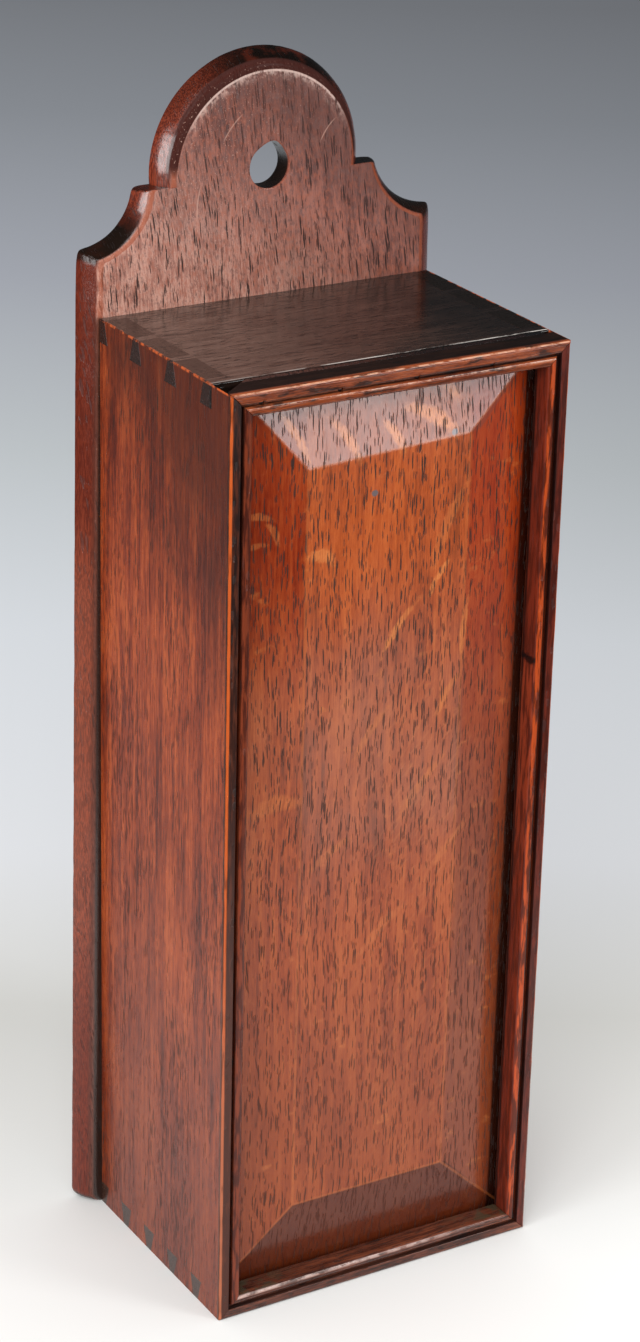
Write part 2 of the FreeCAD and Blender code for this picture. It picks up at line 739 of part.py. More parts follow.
def lid_rail():
    """Moulded strip across the lid's head that carries on the frame's moulding."""
    body = new_body("lid_rail")
    section = [
        (LID_EDGE_FACE, CEILING),
        (FRONT, CEILING),
        (FRONT, f"({HEIGHT} - {QUIRK_END})"),
        (QUIRK_FLOOR, f"({HEIGHT} - {QUIRK_END})"),
        (QUIRK_FLOOR, f"({HEIGHT} - {QUIRK_START})"),
        (FRONT, f"({HEIGHT} - {QUIRK_START})"),
        (FRONT, HEIGHT),
        (LID_EDGE_FACE, HEIGHT),
    ]
    sketch = polygon_sketch(body, "rail_section", "YZ_Plane", "0", [section])
    pad(body, "rail_blank", sketch, size("box_width"), midplane=True)

    lengthwise = FreeCAD.Vector(1, 0, 0)
    front, top = value(FRONT), value(HEIGHT)
    arris = lines_through(body, lengthwise, [FreeCAD.Vector(0, front, top)])
    round_edges(body, "rail_arris", arris, size("arris_round"))
    bead_edges = (top - value(QUIRK_END), value(CEILING))
    spots = [FreeCAD.Vector(0, front, height) for height in bead_edges]
    round_edges(body, "rail_bead", lines_through(body, lengthwise, spots), size("bead_round"))

    ends = []
    for hand in (-1, 1):
        low = f"({hand} * ({INNER} - {size('mitre_play')}))"
        high = f"({hand} * ({OUTER} - {size('mitre_play')}))"
        outer = f"({hand} * {OUTER})"
        ends.append([(low, CEILING), (high, HEIGHT), (outer, HEIGHT), (outer, CEILING)])
    mitres = polygon_sketch(body, "rail_mitres", "XZ_Plane", f"-{FRONT}", ends)
    pocket(body, "rail_mitre_cut", mitres, f"({LID_EDGE_FACE} - {FRONT})")

    pare_corner(body, "rail")

    depth = f"({LID_EDGE_FACE} - {FRONT})"
    clear = hole_for("brad_thickness")
    bore(body, "rail_brad_holes", "XZ_Plane", f"-{FRONT}", brad_places, clear, depth)
    return body


# ---------------------------------------------------------------- the whole box
left_side = side_board("left_side", -1)
right_side = side_board("right_side", 1)
top = top_board()
bottom = bottom_board()
back = backboard()
panel = lid_panel()
rail = lid_rail()

NAIL_REACH = f"({size('nail_head_thickness')} + {size('nail_length')} - {REAR})"
drill_for_nails(left_side, "left", left_nail_places, NAIL_REACH)
drill_for_nails(right_side, "right", right_nail_places, NAIL_REACH)
drill_for_nails(bottom, "bottom", bottom_nail_places, NAIL_REACH)
drill_for_nails(top, "top", top_nail_places, NAIL_REACH)

head_hole = f"({size('nail_head_radius')} + {size('metal_play')})"
sinking = size("nail_head_thickness")
head_floor = f"-({REAR} - {sinking})"
bore(back, "back_nail_shanks", "XZ_Plane", "0", nail_places, hole_for("nail_thickness"), REAR)
bore(back, "back_nail_heads", "XZ_Plane", head_floor, nail_places, head_hole, sinking)
nails = back_nails()
brads = rail_brads()

pieces = [back, left_side, right_side, top, bottom, nails, panel, rail, brads]
doc.recompute()
for item in doc.Objects:
    if "Invalid" in item.State or "Error" in item.State:
        raise RuntimeError(f"{item.Label} did not recompute: {item.State}")
for piece in pieces:
    if piece.Shape.isNull() or not piece.Shape.isValid():
        raise RuntimeError(f"{piece.Label} has no valid shape")
for piece in pieces:
    piece.Shape.exportStep(f"parts/{piece.Label}.step")
    print(f"{piece.Label}: {len(piece.Shape.Solids)} solid(s), {piece.Shape.Volume / 1000:.1f} cm3")
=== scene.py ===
import math

import bmesh
import bpy
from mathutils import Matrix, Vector, noise


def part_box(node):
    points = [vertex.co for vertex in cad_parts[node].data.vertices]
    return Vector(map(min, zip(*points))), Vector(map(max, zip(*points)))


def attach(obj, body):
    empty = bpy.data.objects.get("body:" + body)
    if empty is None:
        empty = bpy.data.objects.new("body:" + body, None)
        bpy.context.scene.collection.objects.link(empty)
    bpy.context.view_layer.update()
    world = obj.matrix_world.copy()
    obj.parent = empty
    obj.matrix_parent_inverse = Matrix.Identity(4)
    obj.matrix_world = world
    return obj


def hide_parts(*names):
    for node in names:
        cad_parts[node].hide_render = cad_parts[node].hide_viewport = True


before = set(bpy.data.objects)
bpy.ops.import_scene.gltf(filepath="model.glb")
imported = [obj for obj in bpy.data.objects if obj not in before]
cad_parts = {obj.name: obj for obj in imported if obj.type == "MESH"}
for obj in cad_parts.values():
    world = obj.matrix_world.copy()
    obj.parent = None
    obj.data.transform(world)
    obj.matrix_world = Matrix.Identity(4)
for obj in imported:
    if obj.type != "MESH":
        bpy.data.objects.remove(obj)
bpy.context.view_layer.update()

# All sizes below are in millimetres and are brought to metres with MM.
MM = 0.001

# ---------------------------------------------------------------- camera
# A long lens above the box and to its left, tipped down towards it.
camera_lens = bpy.data.cameras.new("camera")
camera_lens.sensor_width = 36
camera_lens.lens = 92.285
camera = bpy.data.objects.new("camera", camera_lens)
camera.location = (-0.6150, -1.0256, 0.7482)
camera.rotation_euler = [math.radians(turn) for turn in (66.846, -1.298, -30.395)]
bpy.context.scene.collection.objects.link(camera)
bpy.context.scene.camera = camera
bpy.context.scene.view_settings.view_transform = "Standard"


# ---------------------------------------------------------------- floor, lamps and room
# A white paper sweep whose painted shade runs from bright under the box to grey far behind it,
# one soft box at the left, one over the lens, two at the right, and a dim even room.
class Wire:
    """One value, colour or place in a finish; arithmetic on it adds Math nodes."""

    def __init__(self, finish, socket):
        self.finish = finish
        self.socket = socket

    def sum(self, operation, *parts):
        return self.finish.node("ShaderNodeMath", {"operation": operation}, dict(enumerate(parts)))

    def __add__(self, other):
        return self.sum("ADD", self, other)

    def __radd__(self, other):
        return self.sum("ADD", other, self)

    def __sub__(self, other):
        return self.sum("SUBTRACT", self, other)

    def __rsub__(self, other):
        return self.sum("SUBTRACT", other, self)

    def __mul__(self, other):
        return self.sum("MULTIPLY", self, other)

    def __truediv__(self, other):
        return self.sum("DIVIDE", self, other)

    def __pow__(self, other):
        return self.sum("POWER", self, other)

    def __neg__(self):
        return self.sum("MULTIPLY", self, -1.0)

    def __abs__(self):
        return self.sum("ABSOLUTE", self)

    def sine(self):
        return self.sum("SINE", self)

    def least(self, other):
        return self.sum("MINIMUM", self, other)

    def most(self, other):
        return self.sum("MAXIMUM", self, other)

    def rise(self, low, high):
        """0 below `low`, 1 above `high`, and eased between; falls if low > high."""
        ends = {"From Min": low, "From Max": high, "Value": self}
        return self.finish.node("ShaderNodeMapRange", {"interpolation_type": "SMOOTHSTEP"}, ends)

    def near(self, middle, core, fade):
        """1 within `core` of a value, easing to 0 by `fade` from it."""
        return abs(self - middle).rise(fade, core)


class Finish:
    """A node material for one piece, or the room's light."""

    def __init__(self, name, owner=None):
        self.owner = owner or bpy.data.materials.new(name)
        self.owner.use_nodes = True
        self.tree = self.owner.node_tree
        self.tree.nodes.clear()
        self.colour = None

    def node(self, kind, settings=None, sockets=None, out=0):
        """Add a node: its settings first, then what its sockets hold or are fed."""
        made = self.tree.nodes.new(kind)
        for name, setting in (settings or {}).items():
            if name == "stops":
                self.set_stops(made.color_ramp, setting)
            else:
                setattr(made, name, setting)
        for name, fed in (sockets or {}).items():
            if isinstance(fed, Wire):
                self.tree.links.new(fed.socket, made.inputs[name])
            else:
                made.inputs[name].default_value = fed
        return Wire(self, made.outputs[out]) if made.outputs else made

    def set_stops(self, ramp, stops):
        """Give a colour ramp its stops; a new ramp has two already."""
        for index, (place, colour) in enumerate(stops):
            stop = ramp.elements[index] if index < 2 else ramp.elements.new(place)
            stop.position = place
            stop.color = (*colour, 1)

    def lay(self, under, over, share):
        """Lay one colour over another by a share."""
        under, over = (c if isinstance(c, Wire) else (*c, 1) for c in (under, over))
        return self.node("ShaderNodeMix", {"data_type": "RGBA"}, {0: share, 6: under, 7: over}, 2)

    def over(self, tone, share):
        """Lay a tone over the finish's colour as it is so far."""
        self.colour = self.lay(self.colour, tone, share)

    def vectors(self, operation, first, second):
        return self.node("ShaderNodeVectorMath", {"operation": operation}, {0: first, 1: second})

    def place(self):
        """Where a point lies on the piece, in millimetres."""
        spot = self.node("ShaderNodeTexCoord", out="Object")
        return self.vectors("MULTIPLY", spot, (1000, 1000, 1000))

    def split(self, vector):
        """The three parts of a vector."""
        apart = self.tree.nodes.new("ShaderNodeSeparateXYZ")
        self.tree.links.new(vector.socket, apart.inputs[0])
        return [Wire(self, part) for part in apart.outputs]

    def facing(self):
        """Which way the surface looks, as three parts from -1 to 1."""
        return self.split(self.node("ShaderNodeTexCoord", out="Normal"))

    def marked(self, layer):
        """How far the mesh's own layer marks a point as worn or grimy."""
        return self.node("ShaderNodeAttribute", {"attribute_name": layer}, out="Fac")

    def cloud(self, vector, per_mm, detail=3.0, rough=0.5, seed=0.0):
        """Soft noise from 0 to 1, with its frequency along each axis."""
        scaled = self.vectors("MULTIPLY", vector, per_mm)
        moved = self.vectors("ADD", scaled, (seed, seed * 1.7, seed * 2.3))
        settings = {"Vector": moved, "Scale": 1.0, "Detail": detail, "Roughness": rough}
        return self.node("ShaderNodeTexNoise", None, settings)

    def cells(self, vector, size, seed=0.0):
        """Distance to the nearest of many scattered points, and a chance for each."""
        scaled = self.vectors("DIVIDE", vector, size)
        moved = self.vectors("ADD", scaled, (seed, seed * 1.3, seed * 1.9))
        made = self.tree.nodes.new("ShaderNodeTexVoronoi")
        made.inputs["Scale"].default_value = 1.0
        self.tree.links.new(moved.socket, made.inputs["Vector"])
        chance = self.node("ShaderNodeSeparateColor", None, {0: Wire(self, made.outputs["Color"])})
        return Wire(self, made.outputs["Distance"]), chance

    def polish(self, roughness, height, depth, sheen=0.35, coat=0.1, coat_roughness=0.15):
        """Bring colour, roughness and relief together in one shader."""
        lift = {"Height": height, "Strength": 1.0, "Distance": depth * MM}
        sockets = {
            "Base Color": self.colour,
            "Roughness": roughness,
            "Normal": self.node("ShaderNodeBump", None, lift),
            "Specular IOR Level": sheen,
            "Coat Weight": coat,
            "Coat Roughness": coat_roughness,
        }
        self.show(self.node("ShaderNodeBsdfPrincipled", None, sockets))
        return self.owner

    def show(self, shader, output="ShaderNodeOutputMaterial"):
        self.node(output, None, {"Surface": shader})


# the paper's painted shade by how far it lies ahead of the lens, in metres: it ends
# close to the lens and to both sides, and far off it is painted lighter to the left
paper = Finish("paper sweep")
floor_x, floor_y = paper.split(paper.node("ShaderNodeTexCoord", out="Object"))[:2]
from_x, from_y = floor_x - camera.location.x, floor_y - camera.location.y
AHEAD_X, AHEAD_Y = 0.5063, 0.8623
away = from_x * AHEAD_X + from_y * AHEAD_Y
aside = (from_x * AHEAD_Y - from_y * AHEAD_X) / away
NEAR_FLOOR, FAR_FLOOR = 0.6, 3.6
paper_shades = [
    (0.70, (0.10, 0.10, 0.10)),
    (0.82, (0.28, 0.28, 0.28)),
    (0.92, (0.84, 0.84, 0.84)),
    (1.03, (0.85, 0.85, 0.83)),
    (1.16, (0.85, 0.855, 0.84)),
    (1.24, (0.77, 0.77, 0.75)),
    (1.36, (0.64, 0.64, 0.615)),
    (1.52, (0.69, 0.705, 0.73)),
    (1.80, (0.64, 0.667, 0.70)),
    (2.10, (0.508, 0.54, 0.561)),
    (2.50, (0.376, 0.395, 0.441)),
    (3.00, (0.266, 0.283, 0.312)),
    (3.47, (0.206, 0.217, 0.238)),
]
stops = [((reach - NEAR_FLOOR) / (FAR_FLOOR - NEAR_FLOOR), shade) for reach, shade in paper_shades]
along_floor = (away - NEAR_FLOOR) / (FAR_FLOOR - NEAR_FLOOR)
shade = paper.node("ShaderNodeValToRGB", {"stops": stops}, {0: along_floor})
slant = 1 - aside * 0.9 * away.rise(1.35, 2.1) + aside * 0.45 * away.rise(1.50, 1.30)
slant = slant * abs(aside).rise(0.62, 0.16).most(0.12)
shade = paper.node("ShaderNodeVectorMath", {"operation": "SCALE"}, {0: shade, "Scale": slant})
paper.show(paper.node("ShaderNodeBsdfDiffuse", None, {"Color": shade}))

FLOOR_HALF = 8.0
floor_mesh = bpy.data.meshes.new("floor")
corners = [(x * FLOOR_HALF, y * FLOOR_HALF, 0) for x, y in ((-1, -1), (1, -1), (1, 1), (-1, 1))]
floor_mesh.from_pydata(corners, [], [(0, 1, 2, 3)])
floor_mesh.materials.append(paper.owner)
floor = bpy.data.objects.new("floor", floor_mesh)
bpy.context.scene.collection.objects.link(floor)


def soft_box(name, place, aim, width, height, watts):
    """A soft box at a place, turned to face a point on the candle box."""
    lamp = bpy.data.lights.new(name, "AREA")
    lamp.shape = "RECTANGLE"
    lamp.size, lamp.size_y = width, height
    lamp.energy = watts
    holder = bpy.data.objects.new(name, lamp)
    holder.location = place
    facing = Vector(aim) - Vector(place)
    holder.rotation_euler = facing.to_track_quat("-Z", "Y").to_euler()
    bpy.context.scene.collection.objects.link(holder)


soft_box("lamp_right_high", (0.78, -1.12, 1.06), (0.0, 0.0, 0.40), 0.40, 0.40, 5.0)
soft_box("lamp_over_lens", (-0.72, -0.86, 1.36), (0.0, 0.0, 0.35), 0.60, 0.60, 8.0)
soft_box("lamp_left", (-1.22, -0.30, 0.50), (0.0, 0.0, 0.35), 0.72, 0.66, 11.0)
soft_box("lamp_right_low", (0.67, -1.26, 0.15), (0.0, -0.04, 0.25), 0.55, 0.27, 3.0)

world = bpy.data.worlds.new("room")
bpy.context.scene.world = world
room = Finish("room", world)
mirrored = room.node("ShaderNodeLightPath", out="Is Glossy Ray")
room_tone = room.lay((0.76, 0.76, 0.76), (0.04, 0.043, 0.047), mirrored)
room.show(room.node("ShaderNodeBackground", None, {0: room_tone}), "ShaderNodeOutputWorld")


# ---------------------------------------------------------------- backboard
# One upright oak board, sawn to an arch between two shoulders and coves, its
# edge swelled out towards the back and its crest pierced for a nail. It is
# nailed on from behind; the arrises are worn bright, the arch's with a painted highlight, and the end grain
# is black.
case_low, case_high = (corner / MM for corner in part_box("left_side"))
OUTER = -case_low.x
CASE_TOP = case_high.z
CREST_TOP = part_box("backboard")[1].z / MM
FRONT, JOINT = case_low.y, case_high.y
THICK, ARRIS, BORE_ARRIS = 9.0, 1.1, 0.55
EDGE_SWELL, EDGE_CROWN, WORN_IN = 5.5, 1.0, 0.9
FOOT_FLARE, FOOT_ROUND = 4.0, 5.0
SHOULDER, SHOULDER_WIDTH, SHOULDER_LOSS = CASE_TOP + 45, 8.8, 1.7
ARCH, ARCH_LIFT, ARCH_SHIFT = 38.1, 3.4, 2.2
ARCH_CENTRE = SHOULDER + ARCH_LIFT
HOLE, NOTCH_RISE = 8.2, 1.44
SEAT_RADIUS, SEAT_DEPTH, NAIL_APART = 2.75, 1.3, 6


def oak(finish, along, tones, seed, size=1.0, share=0.5, rows=0.15, depth=None, lean=0.0):
    """Old oak worked out through the whole board: blotches, flecks, fibre and pores.

    `along` names the axis that the grain runs along; `size` scales the pores,
    `share` is how many there are, and `rows` how far they keep to the yearly rings.
    `depth` names the axis that its broad face looks along, so that pores lie flat in it,
    and `lean` is how far the grain runs aside for each millimetre along it.
    It gives the finish its first colour and returns the pores, as a mask to lay over
    all that has soaked into the wood, the fibre, and the place with the grain on Z.
    """
    parts = dict(zip("xyz", finish.split(finish.place())))
    sides = [axis for axis in "xyz" if axis != along]
    across = [parts[axis] for axis in sides]
    thick = [5.0 if axis == depth else 1.0 for axis in sides]
    order = {"X": across[0] + parts[along] * lean, "Y": across[1], "Z": parts[along]}
    upright = finish.node("ShaderNodeCombineXYZ", None, order)
    wander = finish.cloud(upright, (0.03, 0.03, 0.012), 2.0, 0.5, seed)
    flutter = finish.cloud(upright, (0.35, 0.35, 0.16), 2.0, 0.5, seed + 5)
    shift = wander * 7 + flutter * 0.6 + parts[along] * lean
    order = {"X": across[0] + shift, "Y": across[1] + shift * 0.6, "Z": parts[along]}
    swayed = finish.node("ShaderNodeCombineXYZ", None, order)

    fibre = finish.cloud(swayed, (2.2, 2.2, 0.05), 3.0, 0.6, seed + 1)
    streak = finish.cloud(swayed, (0.40, 0.40, 0.012), 3.0, 0.55, seed + 2)
    blotch = finish.cloud(upright, (0.045, 0.045, 0.018), 3.0, 0.55, seed + 3)
    fleck = finish.cloud(swayed, (0.90, 0.90, 0.20), 3.0, 0.6, seed + 4)
    tone = blotch * 0.36 + fleck * 0.22 + streak * 0.42 + (fibre - 0.5) * 0.42
    stops = list(zip((0.37, 0.44, 0.51, 0.62), tones))
    finish.colour = finish.node("ShaderNodeValToRGB", {"stops": stops}, {0: tone})

    # open pores are long dashes that keep to the early wood of each year's ring
    year = 3.9
    ring = ((across[0] + across[1] * 0.4 + wander * 12) * (math.tau / year)).sine()
    pore = None
    for wide, long, offset in ((0.90, 13.0, 0.0), (0.70, 6.0, 7.0)):
        cell = [wide * size * thick[0], wide * size * thick[1], long * size]
        reach, chance = finish.cells(swayed, cell, seed + offset)
        dash = reach.rise(0.36, 0.27) * (chance + ring * rows).rise(1 - share, 1.04 - share)
        pore = dash if pore is None else pore.most(dash * 0.85)
    return pore, fibre, upright


def start_from(node):
    """A working copy of a node's solid, with its flat faces made whole."""
    work = bmesh.new()
    work.from_mesh(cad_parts[node].data)
    bmesh.ops.remove_doubles(work, verts=work.verts[:], dist=0.001 * MM)
    flat = math.radians(0.3)
    bmesh.ops.dissolve_limit(work, angle_limit=flat, verts=work.verts[:], edges=work.edges[:])
    work.verts.layers.float.new("worn")
    work.faces.layers.float.new("grime")
    work.normal_update()
    return work


def arrises(work, wanted=None, least=35):
    """The outside corners, or those that `wanted` picks by their two ends in millimetres."""
    found = []
    for edge in work.edges:
        if not edge.is_manifold or not edge.is_convex:
            continue
        if edge.calc_face_angle(0) < math.radians(least):
            continue
        if wanted is None or wanted(*(vert.co / MM for vert in edge.verts)):
            found.append(edge)
    return found


def ease(work, edges, width, worn=0.0, grime=0.0, steps=3):
    """Round off some arrises; `worn` marks their middle, `grime` their faces."""
    worn_layer = work.verts.layers.float["worn"]
    grime_layer = work.faces.layers.float["grime"]
    made = bmesh.ops.bevel(
        work, geom=edges, offset=width * MM, offset_type="OFFSET", segments=steps,
        profile=0.5, affect="EDGES", clamp_overlap=True, loop_slide=False,
    )
    fresh = set(made["faces"])
    for face in fresh:
        face[grime_layer] = grime
    for vert in made["verts"]:
        if all(face in fresh for face in vert.link_faces):
            vert[worn_layer] = worn
    work.normal_update()


def slice_up(work, along, step):
    """Cut the mesh into bands along an axis, so that it can be worn unevenly."""
    axis = "xyz".index(along)
    reach = [vert.co[axis] for vert in work.verts]
    low, high = min(reach), max(reach)
    count = round((high - low) / (step * MM))
    normal = Vector([1.0 if index == axis else 0.0 for index in range(3)])
    for cut in range(1, count):
        bmesh.ops.bisect_plane(
            work, geom=work.verts[:] + work.edges[:] + work.faces[:],
            plane_co=normal * (low + (high - low) * cut / count), plane_no=normal, dist=1e-7,
        )
    work.normal_update()


def knock(work, depth, length, seed):
    """Wear the marked arrises down unevenly, as handling does."""
    worn_layer = work.verts.layers.float["worn"]
    low = [min(vert.co[axis] for vert in work.verts) for axis in range(3)]
    high = [max(vert.co[axis] for vert in work.verts) for axis in range(3)]
    for vert in work.verts:
        if vert[worn_layer] > 0:
            place = vert.co / (length * MM)
            dent = 0.5 + noise.noise(place + Vector((seed, 0, 0)))
            fine = 0.3 * noise.noise(place * 3.1 + Vector((0, seed, 0)))
            vert.co -= vert.normal * depth * MM * max(0.0, dent + fine)
            vert.co = [min(max(vert.co[axis], low[axis]), high[axis]) for axis in range(3)]
    work.normal_update()


def made_piece(name, work, finish, flat_angle=32):
    """Turn finished mesh work into a piece with its material."""
    mesh = bpy.data.meshes.new(name)
    work.to_mesh(mesh)
    work.free()
    mesh.materials.clear()
    mesh.materials.append(finish)
    mesh.polygons.foreach_set("use_smooth", [True] * len(mesh.polygons))
    mesh.set_sharp_from_angle(angle=math.radians(flat_angle))
    made = bpy.data.objects.new(name, mesh)
    bpy.context.scene.collection.objects.link(made)
    made.modifiers.new("even_faces", "WEIGHTED_NORMAL").keep_sharp = True
    return made


def arc(centre, radius, start, end, count):
    """Points along an arc, without its last one; angles in degrees."""
    points = []
    for index in range(count):
        angle = math.radians(start + (end - start) * index / count)
        points.append((centre[0] + radius * math.cos(angle), centre[1] + radius * math.sin(angle)))
    return points


def run(start, end, count):
    """Points along a straight stretch, without its last one."""
    go_x, go_z = end[0] - start[0], end[1] - start[1]
    return [(start[0] + go_x * step / count, start[1] + go_z * step / count) for step in range(count)]


def half_outline(hand, share, inset):
    """One hand of the outline, foot to arch, with its horn's and shoulder's places."""
    grow = EDGE_SWELL * share + EDGE_CROWN * 4 * share * (1 - share) - inset
    arris_inset, cove_lift = (3.0, 7.5) if hand > 0 else (0.0, 2.0)
    half = OUTER + grow - arris_inset * (1 - share)
    arch = ARCH + grow
    middle = -hand * ARCH_SHIFT
    shelf = middle + math.sqrt(arch ** 2 - ARCH_LIFT ** 2)
    shoulder = shelf + SHOULDER_WIDTH - SHOULDER_LOSS * share
    cove_x, cove_z = OUTER + EDGE_SWELL, SHOULDER + cove_lift
    cove = math.hypot(cove_x - shoulder, cove_lift)
    drop = math.sqrt(cove ** 2 - (cove_x - half) ** 2)
    horn_turn = math.degrees(math.atan2(-drop, half - cove_x))
    shoulder_turn = math.degrees(math.atan2(-cove_lift, shoulder - cove_x))
    lean = math.degrees(math.asin(ARCH_LIFT / arch))
    foot = half + FOOT_FLARE
    points = run((0, 0), (foot - FOOT_ROUND, 0), 16)
    points += arc((foot - FOOT_ROUND, FOOT_ROUND), FOOT_ROUND, -90, 0, 8)
    points += run((foot, FOOT_ROUND), (half, cove_z - drop), 130)
    horn = len(points)
    points += arc((cove_x, cove_z), cove, horn_turn, shoulder_turn, 44)
    ledge = len(points)
    points += run((shoulder, SHOULDER), (shelf, SHOULDER), 8)
    points += arc((middle, ARCH_CENTRE), arch, -lean, 90, 90)
    points.append((middle, ARCH_CENTRE + arch))
    return points, horn, ledge


def crest_line(share, inset):
    """The board's outline in (x, z) at a share of its thickness, drawn in by `inset`."""
    right, right_horn, right_ledge = half_outline(1, share, inset)
    left, left_horn, left_ledge = half_outline(-1, share, inset)
    points = right + [(-x, z) for x, z in left[-2:0:-1]]
    last = len(points)
    return points, [right_horn, right_ledge, last - left_ledge, last - left_horn]


def worn_round(points, corners, passes):
    """Round the outline's outside corners by easing the points beside them."""
    points = [Vector(point) for point in points]
    count = len(points)
    for _ in range(passes):
        eased = {}
        for corner in corners:
            for index in range(corner - 5, corner + 6):
                beside = points[(index - 1) % count] + points[(index + 1) % count]
                eased[index % count] = (points[index % count] * 2 + beside) / 4
        for index, point in eased.items():
            points[index] = point
    return points


def loop_at(work, points, depth):
    """A ring of vertices at one depth behind the joint."""
    return [work.verts.new((x * MM, (JOINT + depth) * MM, z * MM)) for x, z in points]


def bridge(work, first, second):
    """Quads between two rings with equal counts."""
    count = len(first)
    for index in range(count):
        after = (index + 1) % count
        work.faces.new((first[index], first[after], second[after], second[index]))


def ring_edges(work, ring):
    """The edges around a ring, made where there are none yet."""
    pairs = [(ring[index], ring[index - 1]) for index in range(len(ring))]
    return [work.edges.get(pair) or work.edges.new(pair) for pair in pairs]


def slanted(x, z, lean):
    """A place turned by `lean` degrees: how far it is along the lean, and across it."""
    turn = math.radians(lean)
    return x * math.cos(turn) + z * math.sin(turn), z * math.cos(turn) - x * math.sin(turn)


def hole_line(widen):
    """The hanging hole, worn to a blunt point at the top where the nail bears."""
    points = []
    for index in range(72):
        angle = math.radians(index * 5)
        rise = max(0.0, math.sin(angle + 0.30)) ** 7 * NOTCH_RISE
        radius = HOLE + widen + 0.12 * noise.noise(Vector((math.cos(angle) * 2, math.sin(angle) * 2, 3)))
        points.append((radius * math.cos(angle), ARCH_CENTRE + radius * math.sin(angle) + rise))
    return points


# the middle of each nail's head, from the corners that are level with the back
nail_spots = []
nail_corners = [vert.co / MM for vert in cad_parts["back_nails"].data.vertices]
head_corners = [corner for corner in nail_corners if corner.y > JOINT + THICK - 0.01]
for corner in head_corners:
    if not any((corner - spot).length < NAIL_APART for spot in nail_spots):
        head = [other for other in head_corners if (other - corner).length < NAIL_APART]
        nail_spots.append(sum(head, Vector()) / len(head))

# the edge in rings from the front to the back, as share of the thickness, inset
# and passes of rounding: the front arris, the crowned edge, the eased back arris
work = bmesh.new()
worn_layer = work.verts.layers.float.new("worn")
work.faces.layers.float.new("grime")
rings = []
layers = []
for turn in (0, 22, 45, 68, 90):
    lean = math.radians(turn)
    layers.append(((1 - math.cos(lean)) * ARRIS / THICK, (1 - math.sin(lean)) * ARRIS, 1))
layers += [(step / 12, 0.0, 1 + step // 3) for step in range(2, 12)]
layers += [(0.955, 0.05, 7), (0.985, 0.25, 8), (1.0, 0.7, 8)]
for number, (share, inset, passes) in enumerate(layers):
    depth = THICK * share
    points, corners = crest_line(share, inset)
    points = worn_round(points, corners, passes)
    ripple = []
    drift = WORN_IN * inset / ARRIS if share < 0.5 else 0.0
    for x, z in points:
        lift = min(max((z - SHOULDER) / 25, 0.0), 1.0)
        x += drift * max(lift, min(max(-x / 20, 0.0), 1.0))
        z -= drift * lift
        dent = 0.22 * max(0.0, noise.noise(Vector((x * 0.09, z * 0.09, depth * 0.05))))
        dent += 0.10 * max(0.0, noise.noise(Vector((x * 0.5, z * 0.5, depth * 0.2 + 4))))
        toward = Vector((-x, ARCH_CENTRE - z if z > SHOULDER else 0.0)).normalized()
        ripple.append((x + toward.x * dent, min(max(z + toward.y * dent, 0.0), CREST_TOP)))
    rings.append(loop_at(work, ripple, depth))
    if number in (1, 2, 3):
        for vert in rings[-1]:
            vert[worn_layer] = 1.0 if number < 3 else 0.6
for first, second in zip(rings, rings[1:]):
    bridge(work, first, second)

# the hole in rings from the front to the back, and the seats of the nails' heads
eased = [(BORE_ARRIS, 0.0), (BORE_ARRIS * 0.3, BORE_ARRIS * 0.3), (0.0, BORE_ARRIS)]
bore = eased + [(0.0, THICK / 2)] + [(widen, THICK - depth) for widen, depth in reversed(eased)]
hole_rings = [loop_at(work, hole_line(widen), depth) for widen, depth in bore]
for first, second in zip(hole_rings, hole_rings[1:]):
    bridge(work, second, first)
for vert in hole_rings[1]:
    vert[worn_layer] = 1.0

back_edges = ring_edges(work, rings[-1]) + ring_edges(work, hole_rings[-1])
for spot in nail_spots:
    mouth = [(spot.x + px, spot.z + pz) for px, pz in arc((0, 0), SEAT_RADIUS, 0, 360, 20)]
    outer_ring = loop_at(work, mouth, THICK)
    inner_ring = loop_at(work, mouth, THICK - SEAT_DEPTH)
    bridge(work, inner_ring, outer_ring)
    work.faces.new(inner_ring)
    back_edges += ring_edges(work, outer_ring)
bmesh.ops.triangle_fill(work, use_beauty=True, edges=back_edges)
front_edges = ring_edges(work, rings[0]) + ring_edges(work, hole_rings[0])
bmesh.ops.triangle_fill(work, use_beauty=True, edges=front_edges)
bmesh.ops.recalc_face_normals(work, faces=work.faces[:])

finish = Finish("backboard_old_oak")
tones = ((0.085, 0.022, 0.015), (0.15, 0.042, 0.028), (0.215, 0.066, 0.044), (0.32, 0.108, 0.074))
pore, fibre, place = oak(finish, "z", tones, 11.0, 1.0, 0.37, 0.25, "y", 0.13)
x, y, z = finish.split(finish.place())
facing = finish.facing()
behind = y - JOINT

# the shown face: paler low down at the left, a painted light, mottled, and darker up at the right, a
# painted shade
broad_cloud = finish.cloud(place, (0.10, 0.10, 0.10), 4.0, 0.6, 31.0)
shown = z.rise(CASE_TOP - 3, CASE_TOP) * behind.rise(3, 1)
pale = (z + x * 0.60 + broad_cloud * 40).rise(CASE_TOP + 74, CASE_TOP - 2) * shown
speckle = (broad_cloud * 0.5 + fibre * 0.5).rise(0.40, 0.58)
pale_tone = finish.lay((0.36, 0.15, 0.11), (0.64, 0.35, 0.275), speckle)
finish.over(pale_tone, pale * 0.92)
mottle = finish.cloud(place, (0.9, 0.9, 0.45), 4.0, 0.70, 32.0)
finish.over((0.40, 0.11, 0.058), mottle.rise(0.50, 0.64) * shown * 0.45)
finish.over((0.08, 0.036, 0.034), mottle.rise(0.49, 0.34) * shown * 0.55)
shaded = (z + x * 0.8).rise(CASE_TOP + 44, CASE_TOP + 86)
finish.over((0.105, 0.028, 0.018), shaded * 0.66)

